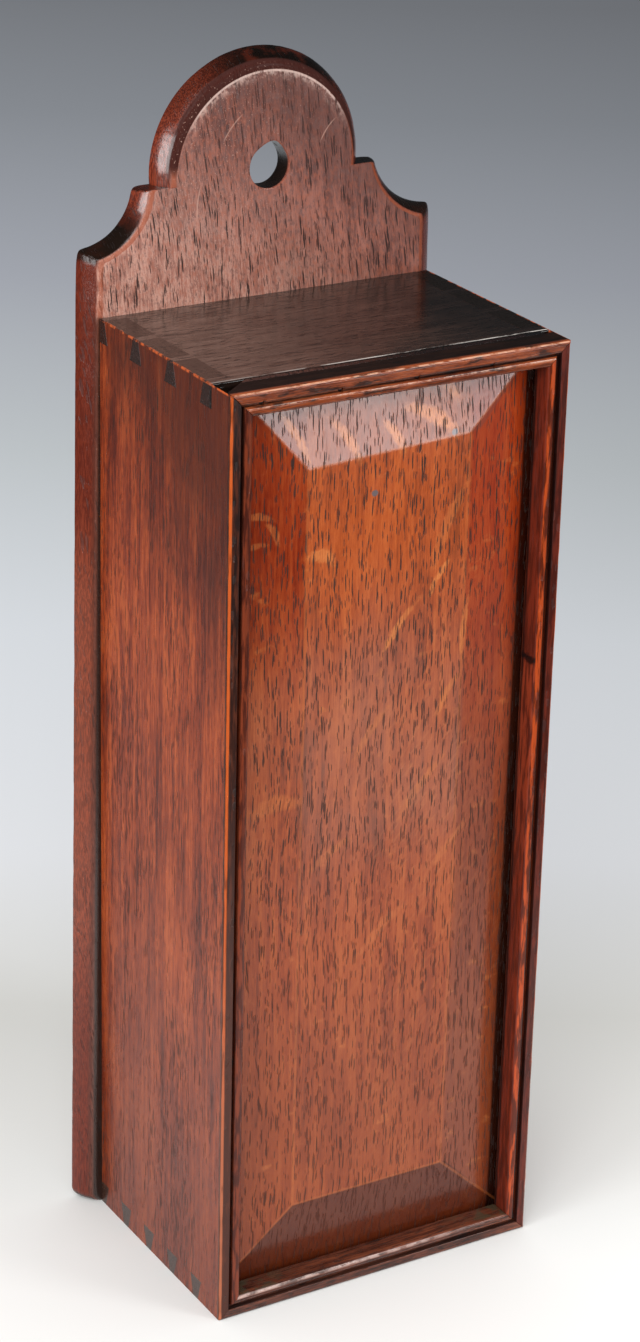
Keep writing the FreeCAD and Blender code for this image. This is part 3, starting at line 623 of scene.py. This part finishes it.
# the sawn edge: red-brown along the sides, black in the coves and as end grain
edge = behind.rise(0.5, 1.3) * facing[1].rise(0.97, 0.80)
edge_tone = finish.lay((0.075, 0.009, 0.004), (0.23, 0.036, 0.013), fibre.rise(0.42, 0.60))
finish.over(edge_tone, edge * 0.9)
browned = z.rise(CASE_TOP - 60, CASE_TOP - 120) * z.rise(40, 160)
finish.over((0.31, 0.11, 0.07), edge * browned * 0.30)
dulled = z.rise(CASE_TOP - 110, CASE_TOP - 60) * z.rise(CASE_TOP + 40, CASE_TOP + 30)
dulled = dulled.most(z.rise(130, 70) * 0.9)
finish.over((0.095, 0.014, 0.007), edge * dulled * 0.66)
end_grain = abs(facing[2]).rise(0.20, 0.65) * edge
end_tone = finish.lay((0.006, 0.003, 0.002), (0.055, 0.009, 0.004), broad_cloud.rise(0.48, 0.66))
flank = x.rise(-8, -34) * z.rise(SHOULDER - 2, SHOULDER + 2)
finish.over(end_tone, end_grain * (1 - flank * 0.55))
in_cove = facing[2].rise(0.03, 0.15) * z.rise(CASE_TOP + 37, CASE_TOP + 27)
finish.over((0.01, 0.005, 0.003), edge * in_cove * 0.85)
open_pore = pore * (0.92 - edge * 0.62 - z.rise(CASE_TOP + 35, CASE_TOP + 75) * 0.40)
finish.over((0.022, 0.01, 0.009), open_pore)
above = z - ARCH_CENTRE
from_hole = (x * x + above * above) ** 0.5
bored = from_hole.rise(HOLE + 4.0, HOLE + 0.6)
finish.over((0.012, 0.006, 0.004), bored * behind.rise(0.5, 1.5))
rust = finish.cloud(place, (0.30, 0.30, 0.30), 4.0, 0.6, 33.0)
worn = (finish.marked("worn") * (rust * 1.5 + 0.25)).rise(0.45, 0.95)
finish.over((0.34, 0.085, 0.04), worn * 0.7)

# the arch's arris, dark outside and painted pale inside as a highlight, at the left and over the top
arch_x, arch_z = x + ARCH_SHIFT - WORN_IN, z - ARCH_CENTRE + WORN_IN
from_arch = (arch_x * arch_x + arch_z * arch_z) ** 0.5
outside = from_arch.rise(ARCH - 1.05, ARCH - 0.75) * z.rise(SHOULDER + 2, SHOULDER + 8)
outside = outside * behind.rise(2.4, 1.6)
finish.over((0.05, 0.007, 0.003), outside)
arris_highlight = from_arch.near(ARCH - 1.3, 0.25, 0.60) * z.rise(ARCH_CENTRE + 12, ARCH_CENTRE + 26)
highlight_halo = from_arch.rise(ARCH - 5.5, ARCH - 1.4) * z.rise(ARCH_CENTRE + 6, ARCH_CENTRE + 26) * (1 - edge)
highlight_halo = highlight_halo * (rust + mottle * 0.8).rise(0.78, 1.08) * 0.8
highlight_blobs = from_arch.rise(ARCH - 3.4, ARCH - 1.6) * x.near(22, 2, 8) * (rust + mottle * 0.6).rise(0.80, 0.95)
arris_highlight = (arris_highlight * (rust + fibre * 0.4).rise(0.50, 0.66)).most(highlight_halo)
arris_highlight = arris_highlight.most(highlight_blobs * z.rise(ARCH_CENTRE, ARCH_CENTRE + 20) * (1 - edge))
finish.over((0.82, 0.60, 0.52), arris_highlight * (1 - outside) * 0.65)

# fine scratches: (x, z, half length, lean in degrees from level); and painted glints, small highlights
scratch = None
for across, up, long, lean in ((-16, 438, 7, 50), (24, 433, 6, 53), (-30, 411, 8, 84)):
    lengthwise, crosswise = slanted(x - across, z - up, lean)
    lengthwise = lengthwise / long
    bow = crosswise + lengthwise * lengthwise * 0.9
    line = abs(bow).rise(0.34, 0.12) * abs(lengthwise).rise(1.0, 0.5)
    scratch = line if scratch is None else scratch.most(line)
glint = finish.cloud(place, (1.9, 1.9, 1.5), 2.0, 0.5, 44.0).rise(0.64, 0.72)
glint = glint * (broad_cloud * 60 - x + z * 0.3).rise(120, 190)
finish.over((0.62, 0.36, 0.28), (scratch * 0.45).most(glint * 0.6) * (1 - edge))

# painted shade darkening the edge towards the sides, and the dark joint beside them
beside = abs(x).rise(OUTER - 1.2, OUTER) * z.rise(CASE_TOP + 1, CASE_TOP - 1)
finish.over((0.065, 0.026, 0.018), beside * behind.rise(2.4, 1.0) * 0.5)
finish.over((0.01, 0.005, 0.003), beside * behind.rise(0.8, 0.2) * 0.9)
rough = 0.40 + pore * 0.25 - worn * 0.20 - edge * 0.20
rough = rough + ((rust - 0.5) * 0.30 + (mottle - 0.5) * 0.35) * (1 - edge * 0.8)
rough = rough + outside * 0.60
waves = finish.cloud(place, (0.09, 0.09, 0.04), 3.0, 0.5, 40.0)
height = fibre * 0.35 - pore * 1.1 + waves * 2.0 + rust * 0.6 + mottle * 0.45
glossy = z.rise(CASE_TOP + 22, CASE_TOP + 34) * z.rise(ARCH_CENTRE + 25, ARCH_CENTRE + 10)
glossy = glossy * (1 - end_grain * 0.8) * (1 - bored)
gloss = 0.03 + (edge * 0.8 * glossy).most(worn * 0.7 * (1 - outside))
material = finish.polish(rough, height, 0.15, sheen=0.34, coat=gloss)

backboard = made_piece("backboard_crested", work, material)
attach(backboard, "case")
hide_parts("backboard")


# ---------------------------------------------------------------- sides
# Two upright oak boards. Their ends are cut in dovetail tails, and their front
# edges carry a fillet, a sunk quirk and a bead, with the lid's groove behind.
# The fillet's outer arris is worn bright all the way down.
BOARD = 9.0
INNER = OUTER - BOARD
FILLET, QUIRK = 3.9, 1.4
FACE_REACH = (FRONT + 2.6, FRONT + 1.3)
# the fillet and the bead, each dark and light, for the left and the right side
MOULDING_TONES = {
    -1: ((0.016, 0.009, 0.008), (0.085, 0.024, 0.013), (0.06, 0.012, 0.007), (0.19, 0.036, 0.014)),
    1: ((0.05, 0.007, 0.004), (0.12, 0.016, 0.008), (0.095, 0.014, 0.005), (0.46, 0.066, 0.013)),
}


def side(node, seed):
    """One side of the case; its long front corner counts as only a little worn."""
    work = start_from(node)

    def outer_end(first, second):
        return all(abs(p.x) > OUTER - 0.1 and (p.z > CASE_TOP - 0.1 or p.z < 0.1) for p in (first, second))

    def joint(first, second):
        middle = (first + second) / 2
        return middle.z > CASE_TOP - BOARD - 0.1 or middle.z < BOARD + 0.1 or middle.y > JOINT - 0.1

    ease(work, arrises(work, outer_end), 0.55, worn=1.0)
    ease(work, arrises(work, joint), 0.14, grime=1.0, steps=1)
    ease(work, arrises(work), 0.30, worn=0.6)
    slice_up(work, "z", 4.0)
    worn_layer = work.verts.layers.float["worn"]
    for vert in work.verts:
        spot = vert.co / MM
        corner = math.hypot(abs(spot.x) - OUTER, spot.y - FRONT)
        if corner < 0.9 and BOARD * 0.2 < spot.z < CASE_TOP - 0.4:
            vert[worn_layer] = 0.3
    knock(work, 0.28, 9.0, seed)
    return work


def side_finish(name, hand, seed):
    """A side's wood; `hand` is -1 for the left and 1 for the right."""
    finish = Finish(name)
    tones = ((0.08, 0.012, 0.006), (0.165, 0.025, 0.008), (0.25, 0.04, 0.011), (0.39, 0.078, 0.02))
    pore, fibre, place = oak(finish, "z", tones, seed, 0.8, 0.36, 0.10, "x")
    x, y, z = finish.split(finish.place())
    out = abs(x)

    # darker towards the head and the foot, with smoky patches
    cloudy = finish.cloud(place, (0.055, 0.055, 0.03), 4.0, 0.6, seed + 9)
    head = (z + (cloudy - 0.5) * 110 - y * 0.9).rise(CASE_TOP - 95, CASE_TOP + 5)
    finish.over((0.05, 0.011, 0.006), head * 0.80)
    smoke = finish.cloud(place, (0.30, 0.30, 0.08), 4.0, 0.65, seed + 11).rise(0.58, 0.70)
    finish.over((0.05, 0.014, 0.008), smoke * 0.35)
    foot = (z + (cloudy - 0.5) * 120).rise(200, -10)
    finish.over((0.084, 0.014, 0.006), foot * 0.60)
    finish.over((0.035, 0.014, 0.01), pore * 0.85)

    # end grain at the head, as black as the top
    head_end = finish.facing()[2].rise(0.80, 0.97) * z.rise(CASE_TOP - 0.5, CASE_TOP - 0.1)
    end_tone = finish.lay((0.06, 0.034, 0.026), (0.012, 0.008, 0.006), x.rise(-75, 10))
    finish.over(end_tone, head_end)

    # the moulding on the front edge: fillet, quirk and bead
    front = y.rise(*FACE_REACH)
    quirk = out.near(OUTER - FILLET - QUIRK / 2, QUIRK / 2 - 0.1, QUIRK / 2 + 0.2) * front
    fillet = out.rise(OUTER - FILLET - 0.3, OUTER - FILLET + 0.1) * front
    mark = finish.cloud(place, (0.7, 0.7, 0.08), 3.0, 0.6, seed + 12)
    fillet_dark, fillet_light, bead_dark, bead_light = MOULDING_TONES[hand]
    rubbed_low = z.rise(240, 110) * (0.6 if hand < 0 else 0.0)
    fillet_tone = finish.lay(fillet_dark, fillet_light, mark.rise(0.44, 0.64).most(rubbed_low))
    finish.over(fillet_tone, fillet * 0.93)
    bead = out.rise(OUTER - FILLET - QUIRK, OUTER - FILLET - QUIRK - 0.3) * front
    bead_tone = finish.lay(bead_dark, bead_light, mark.rise(0.42, 0.58))
    finish.over(bead_tone, bead * 0.93)
    # the bead's flank next to the quirk is painted dark as shade
    flank = out.rise(INNER + 3.2, INNER + 3.6) if hand < 0 else out.rise(INNER + 2.2, INNER + 3.0)
    finish.over((0.012, 0.004, 0.003), flank * bead * 0.9)

    # the lip in front of the lid's groove, its rear painted black as shade, splintered and bitten at the
    # right
    lip = out.rise(INNER + 0.7, INNER + 0.3) * y.rise(FRONT + 10.0, FRONT + 8.0)
    lip_shade = lip * y.rise(FRONT + 6.8, FRONT + 8.4)
    lip_tone = finish.lay((0.07, 0.009, 0.004), (0.15, 0.018, 0.007), mark.rise(0.40, 0.60))
    finish.over(lip_tone, lip * 0.93)
    finish.over((0.003, 0.002, 0.002), lip_shade * 0.95)
    if hand > 0:
        ragged = finish.cloud(place, (0.6, 0.6, 0.6), 3.0, 0.6, seed + 14)
        splintered = lip * (1 - lip_shade) * z.rise(248, 247) * z.rise(150, 210)
        finish.over((0.30, 0.045, 0.014), splintered * mark.rise(0.42, 0.56) * 0.45)
        # the bite is a painted dark notch: shade standing in for a chip that the mesh doesn't have
        notch = (z + (ragged - 0.5) * 4).near(249, 0.5, 2.2) * lip
        finish.over((0.004, 0.002, 0.002), notch * 0.95)

    # bright arrises, painted shade in the quirk, and dark joints
    rub = finish.cloud(place, (0.35, 0.35, 0.05), 4.0, 0.6, seed + 15)
    worn = (finish.marked("worn") * (rub + 0.35)).rise(0.50, 0.95)
    at_head = z.rise(CASE_TOP - 1.0, CASE_TOP - 0.5) * out.rise(OUTER - 0.8, OUTER - 0.4)
    corner = ((OUTER - out) ** 2 + (y - FRONT) ** 2) ** 0.5
    long_arris = corner.rise(1.05, 0.75) * (rub + 0.55).rise(0.80, 1.00)
    worn = worn.most(at_head * rub.rise(0.44, 0.56)).most(long_arris)
    worn_tone = finish.lay((0.40, 0.11, 0.045), (0.58, 0.105, 0.02), z.rise(40, 200))
    finish.over(worn_tone, worn * 0.85)
    finish.over((0.004, 0.003, 0.003), quirk * 0.97)
    finish.over((0.012, 0.008, 0.006), finish.marked("grime") * 0.9)
    rough = 0.27 + pore * 0.25 + (cloudy - 0.5) * 0.20 + quirk * 0.3 + lip * 0.15 - front * 0.10
    height = fibre * 0.15 - pore * 0.8 + cloudy * 1.2 + mark * 0.5
    return finish.polish(rough, height, 0.14, sheen=0.26, coat=0.05 + worn * 0.3)


for node, hand, seed in (("left_side", -1, 23.0), ("right_side", 1, 57.0)):
    piece = made_piece(f"{node}_board", side(node, seed), side_finish(f"{node}_old_oak", hand, seed))
    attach(piece, "case")
    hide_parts(node)


# ---------------------------------------------------------------- top board
# A lying oak board whose pins show their end grain in the sides. It stops short
# of the lid, and two centuries of dust and wax have turned it almost black.
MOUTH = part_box("top_board")[0].y / MM


def upper_front(first, second):
    return all(p.y < MOUTH + 0.1 and p.z > CASE_TOP - 0.1 for p in (first, second))


work = start_from("top_board")
ease(work, arrises(work, upper_front), 0.5, worn=1.0)
ease(work, arrises(work), 0.14, grime=1.0, steps=1)
slice_up(work, "x", 4.0)
knock(work, 0.25, 8.0, 71.0)

finish = Finish("top_board_old_oak")
tones = ((0.012, 0.007, 0.005), (0.022, 0.012, 0.009), (0.036, 0.019, 0.014), (0.07, 0.036, 0.026))
pore, fibre, place = oak(finish, "x", tones, 71.0, 0.8, 0.36, 0.15, "z")
x, y, z = finish.split(finish.place())

# dusty grey to the left, partly a painted reflection, black to the right, and pins that show at both ends
dusty = finish.cloud(place, (0.05, 0.05, 0.02), 4.0, 0.6, 78.0)
left = (x + (dusty - 0.5) * 60).rise(20, -60)
scuffs = finish.cloud(place, (0.55, 0.55, 0.05), 3.0, 0.6, 77.0)
dust_and_reflection_tone = finish.lay((0.06, 0.036, 0.027), (0.15, 0.094, 0.074), scuffs.rise(0.38, 0.62))
finish.over(dust_and_reflection_tone, left * 0.7)
right = (x + (dusty - 0.5) * 50).rise(15, 55)
finish.over((0.006, 0.004, 0.003), right * 0.75)
finish.over((0.007, 0.005, 0.004), pore * 0.85)
pin_end = abs(x).rise(OUTER - 0.5, OUTER - 0.1)
pin_tone = finish.lay((0.012, 0.008, 0.007), (0.042, 0.016, 0.011), fibre.rise(0.35, 0.65))
finish.over(pin_tone, pin_end)

# the thin bright line along the front, a painted highlight on the worn arris, and the arrises beside the
# sides
rub = finish.cloud(place, (0.4, 0.4, 0.10), 4.0, 0.6, 74.0)
worn = (finish.marked("worn") * (rub + 0.30)).rise(0.45, 0.90) * 0.3
front_highlight = y.near(MOUTH + 1.3, 0.25, 0.55) * z.rise(CASE_TOP - 0.8, CASE_TOP - 0.3)
worn = worn.most(front_highlight * rub.rise(0.42, 0.54) * x.rise(-75, 10).most(0.35))
finish.over((0.006, 0.004, 0.003), y.rise(MOUTH + 1.6, MOUTH + 1.1) * 0.9)
# pale on the worn arris, most of it a painted highlight along the front
finish.over((0.86, 0.80, 0.74), worn * 0.85)
at_side = z.rise(CASE_TOP - 1.0, CASE_TOP - 0.5) * abs(x).rise(OUTER - 0.8, OUTER - 0.4)
finish.over((0.45, 0.085, 0.02), at_side * rub.rise(0.46, 0.58) * 0.7)
finish.over((0.006, 0.004, 0.004), finish.marked("grime") * 0.9)
rough = 0.17 + pore * 0.25 + (dusty - 0.5) * 0.20 - worn * 0.05
height = fibre * 0.15 - pore * 0.8 + dusty * 1.5 + scuffs * 0.7
material = finish.polish(rough, height, 0.12, sheen=0.5, coat=0.15, coat_roughness=0.12)
top_board = made_piece("top_board_dark", work, material)
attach(top_board, "case")
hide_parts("top_board")


# ---------------------------------------------------------------- bottom board and sill
# A lying oak board whose front edge carries the same moulding, mitred to the
# sides, and the shallow groove that the lid's foot stands in.
MOULDING_DEPTH = 9.5


def on_moulding(first, second):
    return all(p.y < FRONT + MOULDING_DEPTH for p in (first, second))


work = start_from("bottom_board")
ease(work, arrises(work, on_moulding), 0.25, worn=0.6)
ease(work, arrises(work), 0.14, grime=1.0, steps=1)
slice_up(work, "x", 4.0)
knock(work, 0.22, 8.0, 83.0)

finish = Finish("sill_old_oak")
tones = ((0.03, 0.009, 0.005), (0.07, 0.018, 0.01), (0.12, 0.032, 0.016), (0.22, 0.06, 0.026))
pore, fibre, place = oak(finish, "x", tones, 83.0, size=0.7, share=0.3)
finish.over((0.01, 0.006, 0.005), pore * 0.85)
x, y, z = finish.split(finish.place())
front = y.rise(*FACE_REACH)
# the quirk is painted near black as shade
quirk = z.near(FILLET + QUIRK / 2, QUIRK / 2 - 0.15, QUIRK / 2 + 0.25) * front
finish.over((0.006, 0.004, 0.004), quirk * 0.95)
pin_end = abs(x).rise(OUTER - 0.5, OUTER - 0.1)
pin_tone = finish.lay((0.018, 0.009, 0.006), (0.055, 0.022, 0.014), fibre.rise(0.35, 0.65))
finish.over(pin_tone, pin_end)
dirt = finish.cloud(place, (0.20, 0.20, 0.20), 4.0, 0.6, 88.0)
ledge = z.rise(BOARD - 0.5, BOARD - 0.1) * dirt.rise(0.46, 0.60) * abs(x).rise(28, 58)
finish.over((0.06, 0.052, 0.03), ledge * 0.8)
worn = (finish.marked("worn") * (dirt + 0.35)).rise(0.40, 0.80)
finish.over((0.30, 0.10, 0.045), worn * 0.6)
# a painted highlight along the bead's upper round, which also makes the coat glossy there
gleam = z.near(BOARD - 1.0, 0.25, 0.9) * y.rise(FRONT + 1.8, FRONT + 0.8) * x.rise(62, -5)
gleam = gleam * (dirt + fibre * 0.5).rise(0.60, 0.82).most(0.25)
finish.over((0.60, 0.40, 0.34), gleam * (dirt * 0.8 + 0.2))
finish.over((0.01, 0.007, 0.006), finish.marked("grime") * 0.9)
rough = 0.24 + pore * 0.25 + (dirt - 0.5) * 0.15 + quirk * 0.3
height = fibre * 0.12 - pore * 0.8 + dirt * 0.5
material = finish.polish(rough, height, 0.14, sheen=0.40, coat=0.1 + gleam * 0.8)
sill = made_piece("bottom_board_sill", work, material)
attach(sill, "case")
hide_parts("bottom_board")


# ---------------------------------------------------------------- lid panel
# A quarter-sawn oak panel, its grain upright, planed down in four long bevels
# from the field to a thin edge that runs in the grooves. Pale ray flecks cross
# it, and its corner behind the rail is pared so that it enters easily.
panel_low, panel_high = (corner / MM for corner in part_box("lid_panel"))
PANEL_HALF, PANEL_FOOT, PANEL_HEAD = panel_high.x, panel_low.z, panel_high.z
PANEL_FACE, BEVEL = panel_low.y, 31.0
PANEL_EDGE = 2.6
EDGE_FACE = panel_high.y - PANEL_EDGE


def on_front(point):
    return point.y < EDGE_FACE + 0.05


def on_ridge(first, second):
    """Whether both ends lie on the front and one stands out from the thin edge."""
    return on_front(first) and on_front(second) and min(first.y, second.y) < EDGE_FACE - 0.5


# the head's ridge runs a little out of level and the right one stands a little in
FIELD_RIGHT, RIDGE_FALL = PANEL_HALF - BEVEL - 2.0, 1.8
work = start_from("lid_panel")
for vert in work.verts:
    spot = vert.co / MM
    if spot.y < PANEL_FACE + 0.05:
        if spot.z > PANEL_HEAD - BEVEL - 1:
            vert.co.z -= RIDGE_FALL * (1 - spot.x / (PANEL_HALF - BEVEL)) * MM
        if spot.x > 0:
            vert.co.x = FIELD_RIGHT * MM
ease(work, arrises(work, on_ridge, least=3), 0.9, worn=0.45)
ease(work, arrises(work), 0.25, worn=0.5)
slice_up(work, "z", 5.0)
slice_up(work, "x", 5.0)
for vert in work.verts:
    spot = vert.co / MM
    if on_front(spot):
        hollow = noise.noise(Vector((spot.x * 0.055, spot.z * 0.03, 2.0)))
        vert.co.y += 0.10 * MM * (0.6 + hollow)

finish = Finish("panel_old_oak")
tones = ((0.13, 0.018, 0.005), (0.27, 0.04, 0.009), (0.375, 0.064, 0.013), (0.50, 0.11, 0.025))
x, y, z = finish.split(finish.place())
rows = 0.12 + z.rise(270, 150) * 0.25
pore, fibre, place = oak(finish, "z", tones, 37.0, 0.86, 0.52, rows, "y")
# ray flecks: (x, z, half length, half width, lean in degrees from level, strength)
flecks = [
    (-39, 351, 13, 1.8, -60, 0.9),
    (-18, 347, 12, 2.2, -57, 0.9),
    (2, 345, 9, 2.2, -60, 1.0),
    (18, 350, 15, 3.0, -32, 1.0),
    (26, 358, 5, 2.0, -45, 0.8),
    (24, 308, 20, 2.6, 67, 0.42),
    (21, 288, 9, 1.5, 57, 1.0),
    (4, 271, 12, 1.7, 54, 0.9),
    (33, 266, 13, 1.5, 85, 0.8),
    (-28, 305, 7, 3.0, -20, 0.9),
    (-53, 323, 6, 1.6, -10, 0.6),
    (-47, 316, 6, 1.5, -62, 0.6),
    (-54, 312, 5, 1.3, 10, 0.45),
    (26, 240, 10, 1.6, 60, 0.5),
    (-6, 232, 14, 1.6, 52, 0.35),
    (16, 205, 16, 1.8, 50, 0.35),
    (-22, 186, 12, 1.8, 30, 0.30),
    (30, 178, 14, 1.8, 46, 0.30),
    (2, 150, 16, 2.0, 40, 0.25),
    (-46, 210, 12, 4.0, 12, 0.35),
]
ragged = finish.cloud(place, (0.35, 0.35, 0.35), 3.0, 0.6, 61.0)
fleck = None
for across, up, long, wide, lean, strength in flecks:
    lengthwise, crosswise = slanted(x - across, z - up, lean)
    lengthwise = lengthwise / long
    bow = crosswise / wide + lengthwise * lengthwise * 0.8
    reach = lengthwise * lengthwise + bow * bow
    spot = (reach + (ragged - 0.5) * 2.4).rise(1.20, 0.20) * strength
    fleck = spot if fleck is None else fleck.most(spot)
small = finish.cloud(place, (0.10, 0.10, 0.16), 3.0, 0.6, 64.0)
fleck = fleck.most(small.rise(0.62, 0.74) * 0.35)
hazy = finish.cloud(place, (0.035, 0.035, 0.02), 3.0, 0.6, 66.0)
patchy = (hazy - 0.5) * 20

# ripples of smaller rays, leaning over the lower field
lengthwise, crosswise = slanted(x, z, 48)
leaning = finish.node("ShaderNodeCombineXYZ", None, {"X": lengthwise, "Y": crosswise * 5, "Z": y})
ripple = finish.cloud(leaning, (0.14, 0.14, 0.2), 3.0, 0.6, 70.0).rise(0.52, 0.66)
ripple = ripple * z.rise(300, 200) * x.rise(-40, 20)
finish.over((0.56, 0.165, 0.048), ripple * 0.35)

# a painted pale sheen over the middle, brown towards the foot, and orange high in the field
painted_sheen = z.near(225, 10, 90) * ((PANEL_HALF - BEVEL - abs(x)).rise(-2, 3) * 0.3 + 0.7)
finish.over((0.42, 0.20, 0.14), painted_sheen * (hazy.rise(0.25, 0.75) * 0.25 + 0.22))
finish.over((0.21, 0.044, 0.013), z.rise(250, 50) * 0.63)
in_field = (x + PANEL_HALF - BEVEL).rise(-1, 1) * x.rise(FIELD_RIGHT + 1, FIELD_RIGHT - 1)
finish.over((0.68, 0.16, 0.04), z.rise(258, 300) * in_field * 0.24)

# what colours each bevel: the right one and the foot are the darkest, the foot's dark painted as shade, for
# it faces down
to_side = PANEL_HALF - abs(x)
to_foot = z - PANEL_FOOT
on_foot = (to_side.least(BEVEL) - to_foot).rise(-0.4, 0.6)
on_right = (x - FIELD_RIGHT).rise(-1.0, 3.0) * (1 - on_foot)
on_left = (-PANEL_HALF + BEVEL - x).rise(-1.0, 3.0) * (1 - on_foot)
right_tone = finish.lay((0.15, 0.034, 0.015), (0.34, 0.018, 0.001), z.rise(150, 320))
finish.over(right_tone, on_right * 0.50)
finish.over((0.26, 0.018, 0.004), on_left * (z + patchy).rise(230, 320) * 0.50)
head_bevel = x * (-RIDGE_FALL / (PANEL_HALF - BEVEL)) + (BEVEL + RIDGE_FALL)
on_head = ((to_side * 1.08).least(head_bevel) - (PANEL_HEAD - z)).rise(-0.4, 0.6)
finish.over((0.13, 0.05, 0.038), on_head * 0.42)
fleck = fleck * ((fibre + ragged * 0.4).rise(0.52, 0.80) * 0.40 + 0.32)
finish.over((0.72, 0.24, 0.07), fleck)
# painted shade over the foot bevel, which faces down
finish.over((0.06, 0.01, 0.004), on_foot * 0.78)
border = (x - PANEL_HALF + patchy * 0.4).rise(-12, -2)
finish.over((0.10, 0.014, 0.004), border * 0.5)
# painted shade, near black, where each edge runs in under the lip
groove_shade = (x - PANEL_HALF).rise(-8.4, -7.0).most((-x - PANEL_HALF).rise(-5.4, -4.6))
finish.over((0.01, 0.003, 0.002), groove_shade * 0.9)
open_pore = pore * (z.rise(60, 330) * 0.25 + 0.72) * (1 - on_foot * 0.5)
finish.over((0.03, 0.012, 0.008), open_pore)

# two specks of old paint, and wear
for across, up, tone in ((26, 343, (0.16, 0.16, 0.18)), (-7, 325, (0.12, 0.12, 0.13))):
    blob = ((x - across) ** 2 + (z - up) ** 2 + (ragged - 0.5) * 3).rise(2.4, 1.0)
    finish.over(tone, blob * 0.9)
worn = (finish.marked("worn") * (ragged + 0.6)).rise(0.15, 0.60) * z.rise(CASE_TOP - 0.5, CASE_TOP - 1.5)
finish.over((0.52, 0.14, 0.036), worn * 0.35)
finish.over((0.004, 0.003, 0.003), z.rise(CASE_TOP - 1.2, CASE_TOP - 0.6) * 0.95)
rough = 0.19 + pore * 0.45 + (hazy - 0.5) * 0.16 + (ragged - 0.5) * 0.12
height = fibre * 0.12 - pore * 1.1 + hazy * 1.5 + ragged * 0.30
gloss = (0.04 + z.rise(110, 330) * 0.26) * (1 - pore * 0.9)
material = finish.polish(rough, height, 0.15, sheen=0.42, coat=gloss, coat_roughness=0.12)
panel = made_piece("lid_panel_fielded", work, material, flat_angle=60)
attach(panel, "lid")
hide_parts("lid_panel")


# ---------------------------------------------------------------- lid rail
# An oak strip planted across the lid's head with brads. It carries the frame's
# fillet, quirk and bead on, and meets them in mitres when the lid is down.
work = start_from("lid_rail")
ease(work, arrises(work), 0.25, worn=0.8)
slice_up(work, "x", 3.5)
knock(work, 0.22, 7.0, 91.0)

finish = Finish("rail_old_oak")
tones = ((0.035, 0.008, 0.005), (0.085, 0.019, 0.008), (0.18, 0.036, 0.012), (0.35, 0.082, 0.026))
pore, fibre, place = oak(finish, "x", tones, 95.0, size=0.7, share=0.3)
x, y, z = finish.split(finish.place())
front = y.rise(*FACE_REACH)
quirk = z.near(CASE_TOP - FILLET - QUIRK / 2, QUIRK / 2 - 0.15, QUIRK / 2 + 0.25) * front
dirt = finish.cloud(place, (0.25, 0.25, 0.25), 4.0, 0.6, 98.0)
# the quirk: painted shade, near black, with grey-green dirt towards the left
quirk_dirt_and_shade = finish.lay((0.006, 0.004, 0.004), (0.075, 0.07, 0.048), dirt.rise(0.50, 0.62) * x.rise(30, -60))
finish.over(quirk_dirt_and_shade, quirk * 0.95)
stain = finish.cloud(place, (0.4, 0.4, 0.08), 4.0, 0.6, 99.0).rise(0.54, 0.64)
finish.over((0.02, 0.01, 0.008), stain * 0.85)
on_top = finish.facing()[2].rise(0.6, 0.95) * y.rise(FRONT + 1.2, FRONT + 3.0)
finish.over((0.006, 0.003, 0.002), on_top * 0.95)
# painted highlights along the top arris and the bead's upper round; they also make the coat glossy there
corner = ((z - CASE_TOP) ** 2 + (y - FRONT) ** 2) ** 0.5
polish_and_highlight = corner.rise(0.70, 0.48) * (dirt + 0.5).rise(0.84, 1.06)
bead_highlight = z.near(CASE_TOP - FILLET - QUIRK - 0.9, 0.05, 0.45) * y.rise(FRONT + 1.8, FRONT + 0.8)
polish_and_highlight = polish_and_highlight.most(bead_highlight * dirt.rise(0.44, 0.60) * 0.5)
finish.over((0.86, 0.46, 0.29), polish_and_highlight * 0.75)
rough = 0.16 + pore * 0.25 + (dirt - 0.5) * 0.15 + quirk * 0.3 + on_top * 0.5
height = fibre * 0.12 - pore * 0.8 + dirt * 0.5
gloss = (0.06 + polish_and_highlight * 0.8) * (1 - on_top)
material = finish.polish(rough, height, 0.14, sheen=0.30, coat=gloss, coat_roughness=0.08)
rail = made_piece("lid_rail_moulded", work, material)
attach(rail, "lid")
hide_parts("lid_rail")


# ---------------------------------------------------------------- nails and brads
# Hand-made iron: nails with flat heads let into the back of the backboard, and
# headless brads in the rail's quirk. Both are dark and lightly rusted.
finish = Finish("hand_made_iron")
place = finish.place()
rust = finish.cloud(place, (0.9, 0.9, 0.9), 5.0, 0.65, 5.0)
finish.colour = finish.lay((0.03, 0.026, 0.024), (0.085, 0.036, 0.018), rust.rise(0.48, 0.66))
rough = 0.48 + rust * 0.35
iron = finish.polish(rough, rust, 0.25)

for node, name, body in (("back_nails", "back_nail_set", "case"), ("rail_brads", "rail_brad_set", "lid")):
    work = start_from(node)
    ease(work, arrises(work), 0.18, worn=1.0)
    knock(work, 0.12, 2.0, 12.0)
    piece = made_piece(name, work, iron)
    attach(piece, body)
    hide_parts(node)
